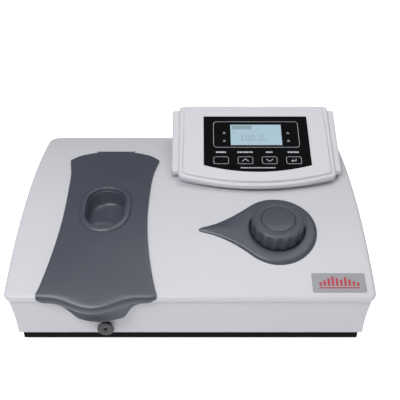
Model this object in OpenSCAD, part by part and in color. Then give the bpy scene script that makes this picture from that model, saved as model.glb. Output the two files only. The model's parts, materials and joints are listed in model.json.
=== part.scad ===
// Bench-top visible-light spectrophotometer: moulded case, hinged sample lid, four-cell
// sample carriage on a pull rod, wavelength knob with cam-driven concave grating, display pod.
// +X is the right-hand side, +Y the back, +Z up; the origin lies on the bench under the middle.

/* [Case] */
// Width of the case across its ledge
case_w = 410; // [404:1:412]
// Front of the ledge, measured forward from the middle
ledge_front = 141; // [140:0.5:142]
// Rear wall of the case, measured back from the middle
case_back = 152; // [151.8:0.1:152.2]
// Radius of the arched top
arch_r = 540; // [538:1:542]
// Wall thickness of the moulded covers
wall = 3; // [2.6:0.1:3.2]
// Height of the bottom edge of the white skirt
skirt_z = 17; // [16:0.5:18]
// How far the skirt is drawn in under the ledge
cove_in = 6.3; // [5.8:0.1:6.6]
// Radius of the rounded ledge
ledge_r = 4; // [3.5:0.1:4.2]

/* [Base] */
// Width of the steel base pan
pan_w = 388; // [386:1:389]
// Height of the rubber feet
foot_h = 5; // [4:0.5:5]
// Diameter of the rubber feet
foot_d = 20; // [16:1:24]

/* [Sample compartment] */
// Sideways position of the lid
lid_x = -103; // [-104:0.5:-102]
// Thickness of the lid moulding
lid_t = 3.6; // [3.2:0.1:4]
// Distance between neighbouring cells in the carriage
cell_pitch = 17; // [16.5:0.1:17.2]
// Inside width of a cell pocket
cell_w = 12.7; // [12.6:0.1:13]
// Height of the light beam over the bench
beam_z = 42; // [41:0.5:43]
// Sideways position of the pull rod
rod_x = -96; // [-97:0.5:-95]
// Height of the pull rod
rod_z = 29.2; // [29:0.1:29.6]
// Diameter of the knob on the pull rod
rod_knob_d = 19.2; // [18:0.2:20]

/* [Wavelength drive] */
// Sideways position of the wavelength knob
knob_x = 101.5; // [101:0.5:102]
// Position of the knob from front to back
knob_y = -56.5; // [-57:0.5:-56]
// Tilt of the knob towards the operator
knob_tilt = 10; // [9:0.5:11]
// Largest radius of the knob
knob_r = 31; // [30:0.5:31.5]
// Number of finger scallops round the knob
knob_scallops = 16; // [14:1:20]
// Turn of the knob each way from its middle setting
knob_turn = 150; // [140:5:150]
// Turn of the grating each way
grating_turn = 8; // [7:0.5:8]

/* [Display pod] */
// Sideways centre of the display pod
pod_x = 84; // [83:0.5:85]
// Slope of the display face
face_slope = 23; // [22.5:0.5:23.5]
// Width of the black display panel
panel_w = 136.4; // [134:0.2:138]
// Width of the display window
window_w = 66.5; // [64:0.5:68]
// Height of the display window along the slope
window_h = 34; // [32:0.5:35]
// Width of a key
key_w = 20.7; // [20:0.1:21]
// Height of a key along the slope
key_h = 13; // [12.5:0.1:13.2]
// Distance between neighbouring keys
key_pitch = 30.8; // [30:0.1:31]

/* [Hidden] */
$fn = 64;

// Arched top: a cylinder along X, whose axis runs through this point
arch_y = 75;
arch_z = 122 - arch_r;
ledge_y = -ledge_front + ledge_r;
ledge_z = arch_z + sqrt(pow(arch_r - ledge_r, 2) - pow(arch_y - ledge_y, 2));
// Cove under the ledge: a large circle whose lowest inset is cove_in
cove_r = 198;
cove_z = 22;
side_x = case_w / 2;
inner_x = side_x - cove_in - wall;
inner_front = -ledge_front + cove_in + wall;
inner_back = case_back - wall;

// Sample compartment
well_x0 = -145;
well_x1 = -61;
well_y0 = -121;
well_y1 = 61;
well_floor = 20;
well_wall = 2.5;
opening_x0 = -142;
opening_x1 = -64;
opening_y0 = -118;
opening_y1 = 58;
hinge_y = 93;
hinge_z = 123.8;
hinge_r = 1.9;
barrel_half = 20;
beam_y = -10;
cup_y = -25.75;
cup_w = 47;
cup_d = 62.5;
cup_floor = 98;
carriage_y0 = beam_y - 10;
carriage_y1 = beam_y + 3 * cell_pitch + 10;
rail_dx = 18;
rail_z = 28;
rail_r = 3;
rod_r = 4;

// Wavelength drive
knob_z = arch_z + sqrt(arch_r * arch_r - pow(arch_y - knob_y, 2));
shaft_r = 4;
run_gap = 0.05;
ball_drop = 26;
ball_y = knob_y + ball_drop * sin(knob_tilt);
ball_z = knob_z - ball_drop * cos(knob_tilt);
arm_len = 50;
follower_r = 3;
follower_gap = 0.3;
cam_mid = 19;
cam_reach = cam_mid + follower_r + follower_gap;
grating_x = knob_x - cam_reach;
grating_y = ball_y + arm_len;
cam_z = 64;
cam_t = 4;
arm_z = 69;
mono_x0 = -55;
mono_x1 = 128;
mono_y0 = -78;
mono_y1 = 48;
mono_z0 = 9;
mono_z1 = 58;
mono_wall = 4;
beam_angle = 147.2;

// Display pod
face_z0 = 129.4;
pan_z1 = 20;
panel_v0 = 33.2;
panel_v1 = 112.5;
key_v = 40.4;
window_v = 81.6;
key_travel = 0.4;

// Rear fittings
rear_y = 151;
fan_x = -75;
fan_z = 52;
fan_w = 60;
inlet_x = 150;
inlet_z = 52;
switch_x = 112;
serial_x = 30;
rocker_rest = 7;

// ---- shared shapes ------------------------------------------------------------------

// Solid cylinder along X about the axis of the arched top
module arch_drum(r, x0 = -260, x1 = 260)
    translate([x0, arch_y, arch_z]) rotate([0, 90, 0]) cylinder(r = r, h = x1 - x0, $fn = 360);

// Box given by its two corners
module block(a, b) translate(a) cube(b - a);

// Round bar along Y between two places
module bar_y(x, z, r, y0, y1)
    translate([x, y0, z]) rotate([-90, 0, 0]) cylinder(r = r, h = y1 - y0);

// Round bar along X between two places
module bar_x(y, z, r, x0, x1)
    translate([x0, y, z]) rotate([0, 90, 0]) cylinder(r = r, h = x1 - x0);

// Upright round bar between two heights
module bar_z(x, y, r, z0, z1) translate([x, y, z0]) cylinder(r = r, h = z1 - z0);

// Rectangle with round corners, centred
module round_rect(w, d, r) {
    square([w - 2 * r, d], center = true);
    square([w, d - 2 * r], center = true);
    for (sx = [-1, 1], sy = [-1, 1]) translate([sx * (w / 2 - r), sy * (d / 2 - r)]) circle(r = r);
}

// Frame of the wavelength knob: origin where its axis meets the top, +Z along the axis
module at_knob(tilt = knob_tilt) translate([knob_x, knob_y, knob_z]) rotate([tilt, 0, 0]) children();

// Frame of the display face: X from the pod's centre, Y up the slope, Z out of the face
module at_face() translate([pod_x, 0, face_z0]) rotate([face_slope, 0, 0]) children();

// Frame of the light beam between grating and lamp: X runs from the grating to the lamp
module at_beam() translate([grating_x, grating_y, 0]) rotate([0, 0, beam_angle]) children();

// ---- case ---------------------------------------------------------------------------

// Side view of the case: arched top, round ledge, coved front
module case_side() {
    difference() {
        intersection() {
            translate([arch_y, arch_z]) circle(r = arch_r, $fn = 360);
            translate([ledge_y - 1.6, skirt_z]) square([case_back - ledge_y + 1.6, 120]);
        }
        translate([-ledge_front + cove_in - cove_r, cove_z]) circle(r = cove_r, $fn = 360);
    }
    translate([ledge_y, ledge_z]) circle(r = ledge_r);
}

// Half section across the arch, from the middle to the side: ledge and cove follow the arch
module case_rim() {
    cove_low = arch_r - 52;
    cove_high = arch_r - 10;
    steps = 4;
    polygon(concat(
        [[0, arch_r - 150], [0, arch_r + 1], [side_x - ledge_r, arch_r + 1]],
        [for (a = [60 : -30 : -30])
            [side_x - ledge_r + ledge_r * cos(a), arch_r - ledge_r + ledge_r * sin(a)]],
        [for (i = [0 : steps])
            let (rise = (cove_high - cove_low) * (1 - i / steps))
            [side_x - cove_in + rise * rise / (2 * cove_r), cove_low + rise]],
        [[side_x - cove_in, arch_r - 150]]
    ));
}

// Solid of revolution about the axis of the arch, which carries the side ledges
module case_sweep() translate([0, arch_y, arch_z]) rotate([0, 90, 0]) for (s = [0, 1])
    mirror([0, 0, s]) rotate_extrude() mirror([1, -1]) case_rim();

// Plan of the case with well rounded rear corners
module case_plan() {
    r = 16;
    translate([-side_x, -160]) square([2 * side_x, 312 - r + case_back - 152]);
    translate([-side_x + r, -160]) square([2 * (side_x - r), 160 + case_back]);
    for (s = [-1, 1]) translate([s * (side_x - r), case_back - r]) circle(r = r);
}

module top_cover() color("whitesmoke") difference() {
    intersection() {
        rotate([90, 0, 90]) translate([0, 0, -side_x]) linear_extrude(2 * side_x) case_side();
        case_sweep();
        linear_extrude(140) case_plan();
    }
    intersection() {
        block([-inner_x, inner_front, 0], [inner_x, inner_back, 140]);
        arch_drum(arch_r - wall);
    }
    block([opening_x0, opening_y0, 60], [opening_x1, opening_y1, 140]);
    block([-182, 140, 0], [182, 160, 100]);
    for (s = [-1, 1]) translate([lid_x + s * (barrel_half + 3), hinge_y, 110])
        block([-3, -2.2, 0], [3, 2.2, 20]);
    at_knob() translate([0, 0, -20]) cylinder(r = 34.9, h = 40);
    bar_y(rod_x, rod_z, 6.55, -150, -120);
    block([64, 60, 100], [104, 74, 130]);
}

module base_pan() color([0.1, 0.1, 0.1]) difference() {
    block([-pan_w / 2, -131, foot_h], [pan_w / 2, inner_back - 0.1, pan_z1]);
    block([-pan_w / 2 + 2, -129, foot_h + 2], [pan_w / 2 - 2, inner_back - 2.1, pan_z1 + 1]);
    for (x = [-150 : 12 : -30]) block([x, 60, 0], [x + 5, 100, foot_h + 3]);
}

module rubber_feet() color([0.16, 0.16, 0.17]) for (x = [-165, 165], y = [-100, 118])
    translate([x, y, 0]) cylinder(d1 = foot_d - 3, d2 = foot_d, h = foot_h);

module rear_panel() color([0.72, 0.73, 0.75]) difference() {
    block([-181.5, inner_back, skirt_z + 0.3], [181.5, rear_y, 99.5]);
    bar_y(fan_x, fan_z, 27, 140, 160);
    block([inlet_x - 14, 140, inlet_z - 10.4], [inlet_x + 14, 160, inlet_z + 10.4]);
    block([switch_x - 10.8, 140, inlet_z - 7.2], [switch_x + 10.8, 160, inlet_z + 7.2]);
    block([serial_x - 10, 140, inlet_z - 5.7], [serial_x + 10, 160, inlet_z + 5.7]);
    for (x = [-165, -20, 70, 172], z = [27, 90]) bar_y(x, z, 1.6, 140, 160);
    for (i = [0 : 8]) block([-165 + 6 * i, 140, 35], [-162 + 6 * i, 160, 75]);
}

// Machine screws round the edge of the rear panel
module panel_screws() color([0.75, 0.75, 0.77]) for (x = [-165, -20, 70, 172], z = [27, 90]) {
    bar_y(x, z, 1.5, 143, rear_y);
    difference() {
        bar_y(x, z, 3, rear_y, rear_y + 2);
        block([x - 2.2, rear_y + 1, z - 0.4], [x + 2.2, rear_y + 3, z + 0.4]);
        block([x - 0.4, rear_y + 1, z - 2.2], [x + 0.4, rear_y + 3, z + 2.2]);
    }
}

module badge_plate() color("silver") {
    y = -124;
    slope = asin((arch_y - y) / arch_r);
    translate([164.5, y, arch_z + arch_r * cos(slope)]) rotate([slope, 0, 0])
        linear_extrude(0.8) round_rect(59, 23, 1);
}

// ---- display pod --------------------------------------------------------------------

// Side view of the pod for a face lowered by a given drop
module pod_side(drop, front, inset = 0) {
    top_y = 120 - inset * 0.6;
    polygon([
        [front, 90],
        [front, face_z0 + front * tan(face_slope) - drop - inset],
        [top_y, face_z0 + top_y * tan(face_slope) - drop - inset],
        [126 - inset, face_z0 + top_y * tan(face_slope) - drop - inset - 2],
        [150 - inset, 118],
        [150 - inset, 90],
    ]);
}

// One tier of the pod: its width, its front edge with a forward bulge, and its face
module pod_tier(w, front, bulge, drop, inset = 0) {
    r = (w * w / 4 + bulge * bulge) / (2 * bulge);
    intersection() {
        rotate([90, 0, 90]) linear_extrude(w, center = true) pod_side(drop, -20, inset);
        linear_extrude(200) {
            translate([-w / 2, front + bulge]) square([w, 170 - front]);
            intersection() {
                translate([0, front + r]) circle(r = r, $fn = 360);
                translate([-w / 2, front - 1]) square([w, bulge + 2]);
            }
        }
    }
}

module display_pod() color("whitesmoke") difference() {
    translate([pod_x, 0, 0]) {
        pod_tier(190, 6, 9, 0);
        pod_tier(201, 2.5, 9.5, 3);
        pod_tier(224, 43, 4, 9.5);
    }
    translate([pod_x, 0, 0]) {
        pod_tier(183, 10, 9, 0, 3.4);
        pod_tier(216, 47, 4, 9.5, 3.4);
    }
    arch_drum(arch_r + 0.1);
    at_face() {
        translate([0, 0, -0.8]) linear_extrude(5) panel_outline(0.2);
        translate([0, window_v, -5]) linear_extrude(10) square([72, 39], center = true);
        for (i = [0 : 3]) translate([key_x(i), key_v, -5]) linear_extrude(10)
            square([key_w + 1.3, key_h + 1.3], center = true);
    }
}

function key_x(i) = (i - 1.5) * key_pitch;

// Outline of the black panel: straight top and sides, bottom edge bulging downwards
module panel_outline(grow = 0) {
    half = panel_w / 2 + grow;
    bulge = 10.3;
    r = (half * half + bulge * bulge) / (2 * bulge);
    translate([-half, panel_v0]) square([2 * half, panel_v1 - panel_v0 + grow]);
    intersection() {
        translate([0, panel_v0 - bulge - grow + r]) circle(r = r, $fn = 360);
        translate([-half, panel_v0 - bulge - 1]) square([2 * half, bulge + 2]);
    }
}

module display_overlay() color([0.07, 0.07, 0.08]) at_face() difference() {
    translate([0, 0, -0.8]) linear_extrude(1.2) panel_outline();
    translate([0, window_v, -3]) linear_extrude(6) square([window_w, window_h], center = true);
    for (i = [0 : 3]) translate([key_x(i), key_v, -3]) linear_extrude(6)
        square([key_w + 0.6, key_h + 0.6], center = true);
}

module lcd_window() color([0.62, 0.76, 0.8]) at_face() translate([0, window_v, -1.8])
    linear_extrude(2) square([window_w - 0.1, window_h - 0.1], center = true);

module lcd_module() color([0.3, 0.32, 0.33]) at_face() {
    translate([0, window_v, -6.9]) linear_extrude(3.5) square([84, 46], center = true);
    translate([0, window_v, -3.6]) linear_extrude(1.7) square([70, 37], center = true);
}

module display_board() color([0.1, 0.35, 0.2]) at_face() {
    translate([0, 70, -8.6]) linear_extrude(1.6) square([166, 84], center = true);
    for (i = [0 : 3]) translate([key_x(i), key_v, -7.1]) cylinder(d1 = 12, d2 = 9, h = 1.9);
    for (i = [-1, 1]) translate([i * 62, 85, -7.1]) linear_extrude(3) square([14, 9], center = true);
}

// One key: printed pad with a short stem over its dome
module key(i) color([0.09, 0.09, 0.1]) at_face() translate([key_x(i), key_v, 0]) {
    translate([0, 0, -0.8]) linear_extrude(1.2) square([key_w, key_h], center = true);
    translate([0, 0, -4.7]) cylinder(r = 3, h = 4);
}
module key_mode() key(0);
module key_up() key(1);
module key_down() key(2);
module key_enter() key(3);

// ---- sample lid ---------------------------------------------------------------------

// Plan of the lid: waisted sides, arched rear edge
module lid_plan(y0 = -ledge_front) {
    waist = 50.7;
    front_r = 420;
    rear_r = 590;
    rear_arc = 98;
    difference() {
        union() {
            translate([lid_x - 70, y0]) square([140, 50 - y0]);
            intersection() {
                translate([lid_x - 57.5, 49]) square([115, hinge_y - 49]);
                translate([lid_x, 95 - rear_arc]) circle(r = rear_arc, $fn = 360);
            }
        }
        for (s = [-1, 1]) {
            intersection() {
                translate([lid_x + s * (waist + front_r), -28]) circle(r = front_r, $fn = 360);
                translate([lid_x - 80, -160]) square([160, 132]);
            }
            intersection() {
                translate([lid_x + s * (waist + rear_r), -28]) circle(r = rear_r, $fn = 360);
                translate([lid_x - 80, -28]) square([160, 140]);
            }
        }
    }
}

// Forward-reaching nose in plan: a smooth bell curve
module nose_plan(centre, half, reach) {
    n = 24;
    polygon(concat(
        [[centre - half, -ledge_front - 0.5]],
        [for (i = [0 : n])
            let (u = 2 * i / n - 1)
            [centre + half * u, -ledge_front - 2.6 - reach * (1 + cos(180 * u)) / 2]],
        [[centre + half, -ledge_front - 0.5]]
    ));
}

// Side view of the nose: bill on top, hollow cove below it, chin at the bottom
module nose_side() {
    back = -ledge_front - 0.45;
    difference() {
        polygon([
            [back, 81.6], [back - 4, 79.6], [back - 9, 77], [-153.6, 75.3], [-155.4, 73.4],
            [-156, 71], [-155.7, 68], [-154.6, 65.6], [-149, 50.5], [-140.4, 50.5], [back, 66],
        ]);
        translate([-163, 54]) circle(r = 14.2);
    }
}

module sample_lid() color([0.33, 0.34, 0.39]) difference() {
    union() {
        intersection() {
            translate([0, 0, 60]) linear_extrude(100) lid_plan(-ledge_front + 3);
            arch_drum(arch_r + 0.35 + lid_t);
        }
        intersection() {
            translate([lid_x - 65, -143.6, 69.9]) cube([130, 6, 13]);
            union() {
                bar_x(ledge_y, ledge_z, ledge_r + 0.35 + lid_t, -260, 0);
                block([-260, -143.6, 60], [0, ledge_y, ledge_z]);
            }
        }
        intersection() {
            rotate([90, 0, 90]) translate([0, 0, -180]) linear_extrude(180) nose_side();
            union() {
                translate([0, 0, 64]) linear_extrude(20) nose_plan(lid_x - 3, 50, 12.4);
                translate([0, 0, 50]) linear_extrude(15) nose_plan(-98, 30, 12.4);
            }
        }
        bar_x(hinge_y, hinge_z, hinge_r, lid_x - barrel_half, lid_x + barrel_half);
    }
    intersection() {
        arch_drum(arch_r + 0.35, -260, 0);
        block([-260, ledge_y - 1.6, 60], [0, 200, 140]);
    }
    bar_x(ledge_y, ledge_z, ledge_r + 0.4, -260, 0);
    block([-260, -ledge_front - 0.4, 60], [0, ledge_y, ledge_z]);
    bar_x(hinge_y, hinge_z, 0.85, lid_x - 40, lid_x + 40);
    for (s = [-1, 1]) translate([lid_x + s * (barrel_half + 3), 0, 0])
        block([-3, hinge_y - 2.3, 116], [3, hinge_y + 6, 130]);
    translate([lid_x, cup_y, 80]) linear_extrude(60) round_rect(cup_w + 4.4, cup_d + 4.4, 24);
}

// Finger cup let into the lid, with a raised oval collar and a grip shelf at its front
module lid_pull_cup() color([0.3, 0.31, 0.35]) {
    difference() {
        intersection() {
            translate([lid_x, cup_y, 100]) linear_extrude(40) round_rect(62.3, 77.5, 30);
            arch_drum(arch_r + 0.35 + lid_t + 1.8);
        }
        arch_drum(arch_r + 0.35 + lid_t);
        translate([lid_x, cup_y, 90]) linear_extrude(60) round_rect(cup_w, cup_d, 22);
    }
    difference() {
        intersection() {
            translate([lid_x, cup_y, cup_floor]) linear_extrude(40)
                round_rect(cup_w + 4, cup_d + 4, 24);
            arch_drum(arch_r + 0.35 + lid_t + 0.5);
        }
        difference() {
            translate([lid_x, cup_y, cup_floor + 2]) linear_extrude(40)
                round_rect(cup_w, cup_d, 22);
            block([lid_x - 15.5, cup_y - 35, 90], [lid_x + 15.5, cup_y - cup_d / 2 + 20, 105]);
        }
    }
}

module lid_hinge_brackets() color([0.3, 0.31, 0.33]) for (s = [-1, 1]) difference() {
    x = lid_x + s * (barrel_half + 3);
    union() {
        bar_x(hinge_y, hinge_z, hinge_r, x - 2.6, x + 2.6);
        block([x - 2.6, hinge_y - 1.8, 114], [x + 2.6, hinge_y + 1.8, hinge_z]);
        block([x - 7, hinge_y - 6, 112], [x + 7, hinge_y + 6, 115]);
    }
    bar_x(hinge_y, hinge_z, 0.8, x - 4, x + 4);
}

module lid_hinge_pin() color("silver")
    bar_x(hinge_y, hinge_z, 0.8, lid_x - barrel_half - 5.6, lid_x + barrel_half + 5.6);

// ---- sample compartment -------------------------------------------------------------

module sample_well() color([0.08, 0.08, 0.09]) difference() {
    intersection() {
        block([well_x0, well_y0, well_floor], [well_x1, well_y1, 140]);
        arch_drum(arch_r - wall - 0.2);
    }
    block([well_x0 + well_wall, well_y0 + well_wall, well_floor + well_wall],
        [well_x1 - well_wall, well_y1 - well_wall, 140]);
    bar_x(beam_y, beam_z, 5, well_x0 - 5, well_x1 + 5);
    bar_y(rod_x, rod_z, rod_r + 0.6, well_y0 - 5, well_y0 + 5);
    for (s = [-1, 1]) bar_y(rod_x + s * rail_dx, rail_z, rail_r, well_y0 - 5, well_y1 + 5);
}

module carriage_rails() color("silver") for (s = [-1, 1])
    bar_y(rod_x + s * rail_dx, rail_z, rail_r, well_y0, well_y1);

module cell_carriage() color([0.12, 0.12, 0.13]) difference() {
    union() {
        block([rod_x - 24, carriage_y0, 23.2], [rod_x + 24, carriage_y1, 32.8]);
        block([rod_x - 10, carriage_y0, 23.2], [rod_x + 10, carriage_y1, 62]);
    }
    for (s = [-1, 1])
        bar_y(rod_x + s * rail_dx, rail_z, rail_r + run_gap, carriage_y0 - 1, carriage_y1 + 1);
    for (i = [0 : 3]) translate([rod_x, beam_y + i * cell_pitch, 0]) {
        block([-cell_w / 2, -cell_w / 2, 27], [cell_w / 2, cell_w / 2, 70]);
        block([-12, -3, beam_z - 7], [12, 3, beam_z + 9]);
    }
}

module pull_rod() color("silver") bar_y(rod_x, rod_z, rod_r, -138.5, carriage_y0);

module rod_knob() color([0.25, 0.27, 0.28]) difference() {
    union() {
        bar_y(rod_x, rod_z, rod_knob_d / 2, -141.5, -140);
        translate([rod_x, -140, rod_z]) rotate([-90, 0, 0])
            cylinder(r1 = rod_knob_d / 2, r2 = 5, h = 4.4);
    }
    bar_y(rod_x, rod_z, rod_r, -138.5, -130);
    bar_y(rod_x, rod_z, 2, -150, -139.5);
}

module rod_bush() color("burlywood") difference() {
    union() {
        bar_y(rod_x, rod_z, 6.5, -134.9, -127);
        bar_y(rod_x, rod_z, 8.7, inner_front + 0.1, inner_front + 2);
    }
    bar_y(rod_x, rod_z, rod_r + run_gap, -150, -120);
}

// ---- wavelength knob ----------------------------------------------------------------

// Half width of the bezel's tail at a given fraction of its length from the tip
function tail_half(t) = 3 + 28.5 * pow(t, 1.6);

module tail_plan() {
    n = 16;
    tip = -92;
    root = -35;
    polygon(concat(
        [for (i = [0 : n]) [tip + (root - tip) * i / n, tail_half(i / n)]],
        [for (i = [n : -1 : 0]) [tip + (root - tip) * i / n, -tail_half(i / n)]]
    ));
}

module knob_bezel() color([0.3, 0.32, 0.37]) difference() {
    union() {
        difference() {
            at_knob(13) union() {
                translate([0, 0, -8]) cylinder(r = 46.5, h = 9.5);
                translate([0, 0, 1.5]) cylinder(r1 = 46.5, r2 = 43.5, h = 2.5);
                translate([0, 0, -8]) linear_extrude(11) tail_plan();
            }
            arch_drum(arch_r + 0.1);
        }
        at_knob() translate([0, 0, -5]) cylinder(r = 34.6, h = 9);
    }
    at_knob() {
        translate([0, 0, -3]) cylinder(r = 32.6, h = 30);
        translate([0, 0, -10]) cylinder(r = 7.05, h = 20);
    }
}

module wavelength_knob() color([0.33, 0.34, 0.38]) at_knob() difference() {
    union() {
        translate([0, 0, -1.5]) cylinder(r = knob_r, h = 19.3);
        translate([0, 0, 17.8]) cylinder(r1 = knob_r, r2 = knob_r - 2.2, h = 1.8);
    }
    for (i = [0 : knob_scallops - 1]) rotate([0, 0, i * 360 / knob_scallops])
        translate([knob_r + 4.6, 0, -5]) cylinder(r = 6, h = 23, $fn = 32);
    translate([0, 0, 17.6]) cylinder(r = 19.9, h = 5);
    translate([0, 0, -5]) cylinder(r = shaft_r, h = 18);
    difference() {
        translate([0, 0, -5]) cylinder(r = 26, h = 8);
        translate([0, 0, -6]) cylinder(r = 9, h = 10);
    }
}

module knob_cap() color([0.34, 0.35, 0.39]) at_knob() translate([0, 0, 17.6])
    cylinder(r = 19.6, h = 1.9);

// Tilted shaft with a ball end and a cross pin that drives the upright camshaft
module knob_shaft() color("silver") at_knob() {
    translate([0, 0, -ball_drop]) cylinder(r = shaft_r, h = ball_drop + 12.9);
    translate([0, 0, -ball_drop]) sphere(r = 5.5);
    translate([0, 0, -ball_drop]) rotate([0, 90, 0]) cylinder(r = 1.8, h = 16, center = true);
}

module knob_bush() color("burlywood") at_knob() difference() {
    union() {
        translate([0, 0, -5]) cylinder(r = 7, h = 3);
        translate([0, 0, -9]) cylinder(r = 9, h = 4);
    }
    translate([0, 0, -20]) cylinder(r = shaft_r + run_gap, h = 40);
}

// ---- camshaft and grating drive -----------------------------------------------------

module camshaft() color("silver") {
    bar_z(knob_x, ball_y, shaft_r, 33.5, ball_z - 6.5);
    difference() {
        bar_z(knob_x, ball_y, 9, ball_z - 7.5, ball_z + 6.5);
        bar_z(knob_x, ball_y, 6.3, ball_z - 6.2, ball_z + 10);
        translate([knob_x, ball_y, ball_z]) block([-12, -2.2, -3.8], [12, 2.2, 10]);
    }
}

// Cam radius for a given knob angle: it keeps the follower just clear at every setting
function cam_radius(turn) =
    let (swing = turn * grating_turn / knob_turn)
    let (dx = cam_reach - arm_len * sin(swing))
    let (dy = arm_len * (1 - cos(swing)))
    sqrt(dx * dx + dy * dy) - follower_r - follower_gap;

module wavelength_cam() color([0.72, 0.6, 0.35]) translate([knob_x, ball_y, 0]) difference() {
    union() {
        translate([0, 0, cam_z]) linear_extrude(cam_t) polygon([
            for (turn = [knob_turn : -5 : -knob_turn])
                [cam_radius(turn) * cos(180 - turn), cam_radius(turn) * sin(180 - turn)]
        ]);
        translate([0, 0, 61.6]) cylinder(r = 8, h = cam_z - 61.6 + 1);
    }
    translate([0, 0, 50]) cylinder(r = shaft_r, h = 30);
}

module wavelength_encoder() color([0.1, 0.2, 0.35]) difference() {
    bar_z(knob_x, ball_y, 12, 31, mono_z1 - 0.1);
    bar_z(knob_x, ball_y, shaft_r + run_gap, 33, 70);
}

module grating_arm() color([0.7, 0.71, 0.73]) difference() {
    union() {
        bar_z(grating_x, grating_y, 8, arm_z - 4, arm_z + 3);
        block([grating_x - 4, ball_y, arm_z], [grating_x + 4, grating_y, arm_z + 3]);
        bar_z(grating_x, ball_y, 5, arm_z, arm_z + 3);
    }
    bar_z(grating_x, grating_y, shaft_r, 50, 90);
    bar_z(grating_x, ball_y, follower_r, 50, 90);
}

module cam_follower() color([0.72, 0.6, 0.35])
    bar_z(grating_x, ball_y, follower_r, cam_z - 1, arm_z + 3);

module grating_shaft() color("silver") bar_z(grating_x, grating_y, shaft_r, 13.2, arm_z + 4);

module grating_holder() color([0.15, 0.15, 0.16]) difference() {
    block([grating_x - 7, grating_y - 17, 25], [grating_x + 8, grating_y + 17, 56]);
    bar_z(grating_x, grating_y, shaft_r, 10, 70);
    block([grating_x - 9, grating_y - 15, 27], [grating_x - 5, grating_y + 15, 57]);
}

// Concave holographic grating on its glass blank
module diffraction_grating() color([0.75, 0.7, 0.85]) difference() {
    block([grating_x - 11, grating_y - 14.9, 27.1], [grating_x - 5, grating_y + 14.9, 56]);
    translate([grating_x - 11 - 76, grating_y, beam_z]) sphere(r = 78, $fn = 128);
}

module mono_housing() color([0.18, 0.18, 0.19]) difference() {
    union() {
        difference() {
            block([mono_x0, mono_y0, mono_z0], [mono_x1, mono_y1, mono_z1]);
            block([mono_x0 + mono_wall, mono_y0 + mono_wall, mono_z0 + mono_wall],
                [mono_x1 - mono_wall, mono_y1 - mono_wall, mono_z1 + 1]);
        }
        for (x = [mono_x0 + 10, mono_x1 - 10], y = [mono_y0 + 10, mono_y1 - 10])
            bar_z(x, y, 7, foot_h + 2, mono_z0 + 1);
        bar_z(grating_x, grating_y, 8, mono_z0 + 1, mono_z0 + 10);
    }
    bar_z(grating_x, grating_y, shaft_r + run_gap, 13, 30);
    bar_x(beam_y, beam_z, 5, mono_x0 - 5, mono_x0 + 10);
    block([-16, mono_y1 - 6, beam_z - 8], [20, mono_y1 + 6, beam_z + 8]);
}

module mono_cover() color([0.22, 0.22, 0.23]) difference() {
    block([mono_x0, mono_y0, mono_z1], [mono_x1, mono_y1, mono_z1 + 3]);
    bar_z(grating_x, grating_y, shaft_r + run_gap, 50, 70);
    bar_z(knob_x, ball_y, shaft_r + run_gap, 50, 70);
}

module exit_slit() color([0.1, 0.1, 0.1]) difference() {
    union() {
        block([mono_x0 - 1.5, beam_y - 10, beam_z - 10], [mono_x0, beam_y + 10, beam_z + 10]);
        bar_x(beam_y, beam_z, 7, well_x1 + 0.1, mono_x0 - 1);
    }
    bar_x(beam_y, beam_z, 5, well_x1 - 1, mono_x0 - 1.2);
    block([mono_x0 - 3, beam_y - 1, beam_z - 4], [mono_x0 + 3, beam_y + 1, beam_z + 4]);
}

module entrance_slit() color([0.1, 0.1, 0.1]) difference() {
    block([-18, mono_y1, beam_z - 11], [22, mono_y1 + 1.5, beam_z + 11]);
    block([1, mono_y1 - 2, beam_z - 4], [3, mono_y1 + 3, beam_z + 4]);
}

// ---- lamp and detector --------------------------------------------------------------

module lens_mount() color([0.18, 0.18, 0.19]) at_beam() difference() {
    union() {
        block([132, -13, foot_h + 2], [140, 13, 57]);
        block([132, -13, foot_h + 2], [148, 13, foot_h + 5]);
    }
    translate([125, 0, beam_z]) rotate([0, 90, 0]) cylinder(r = 10.1, h = 20);
}

module condenser_lens() color([0.8, 0.9, 0.95]) at_beam() intersection() {
    translate([132.5, 0, beam_z]) rotate([0, 90, 0]) cylinder(r = 10, h = 7);
    translate([136 + 18, 0, beam_z]) sphere(r = 21.5, $fn = 96);
    translate([136 - 18, 0, beam_z]) sphere(r = 21.5, $fn = 96);
}

module lamp_housing() color([0.6, 0.61, 0.63]) at_beam() difference() {
    block([154, -20, foot_h + 2], [198, 20, 72]);
    block([156, -18, foot_h + 4], [196, 18, 70]);
    translate([150, 0, beam_z]) rotate([0, 90, 0]) cylinder(r = 9, h = 10);
    for (i = [0 : 4]) block([160 + 7 * i, -16, 60], [163.5 + 7 * i, 16, 80]);
}

module lamp_socket() color([0.9, 0.88, 0.8]) at_beam() difference() {
    block([168, -9, foot_h + 4], [186, 9, 28]);
    for (s = [-1, 1]) translate([177, s * 3.2, 20]) cylinder(r = 0.9, h = 20);
}

module halogen_lamp() color([0.9, 0.93, 0.95]) at_beam() translate([177, 0, 28]) {
    cylinder(r = 5.5, h = 14);
    translate([0, 0, 14]) sphere(r = 5.5);
    for (s = [-1, 1]) translate([0, s * 3.2, -7.5]) cylinder(r = 0.85, h = 9);
}

module detector_housing() color([0.18, 0.18, 0.19]) difference() {
    block([-186, beam_y - 24, foot_h + 2], [well_x0 - 0.1, beam_y + 24, 68]);
    block([-183, beam_y - 21, foot_h + 5], [well_x0 - 4, beam_y + 21, 65]);
    bar_x(beam_y, beam_z, 5, well_x0 - 10, well_x0 + 5);
}

module detector_board() color([0.1, 0.35, 0.2]) {
    block([-166, beam_y - 20.8, foot_h + 5], [-164.4, beam_y + 20.8, 62]);
    block([-172, beam_y - 10, 18], [-166, beam_y + 6, 26]);
}

module photodiode() color([0.5, 0.45, 0.3]) difference() {
    bar_x(beam_y, beam_z, 6, -164.4, -158);
    bar_x(beam_y, beam_z, 4.5, -159, -157);
}

// ---- electronics --------------------------------------------------------------------

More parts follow.
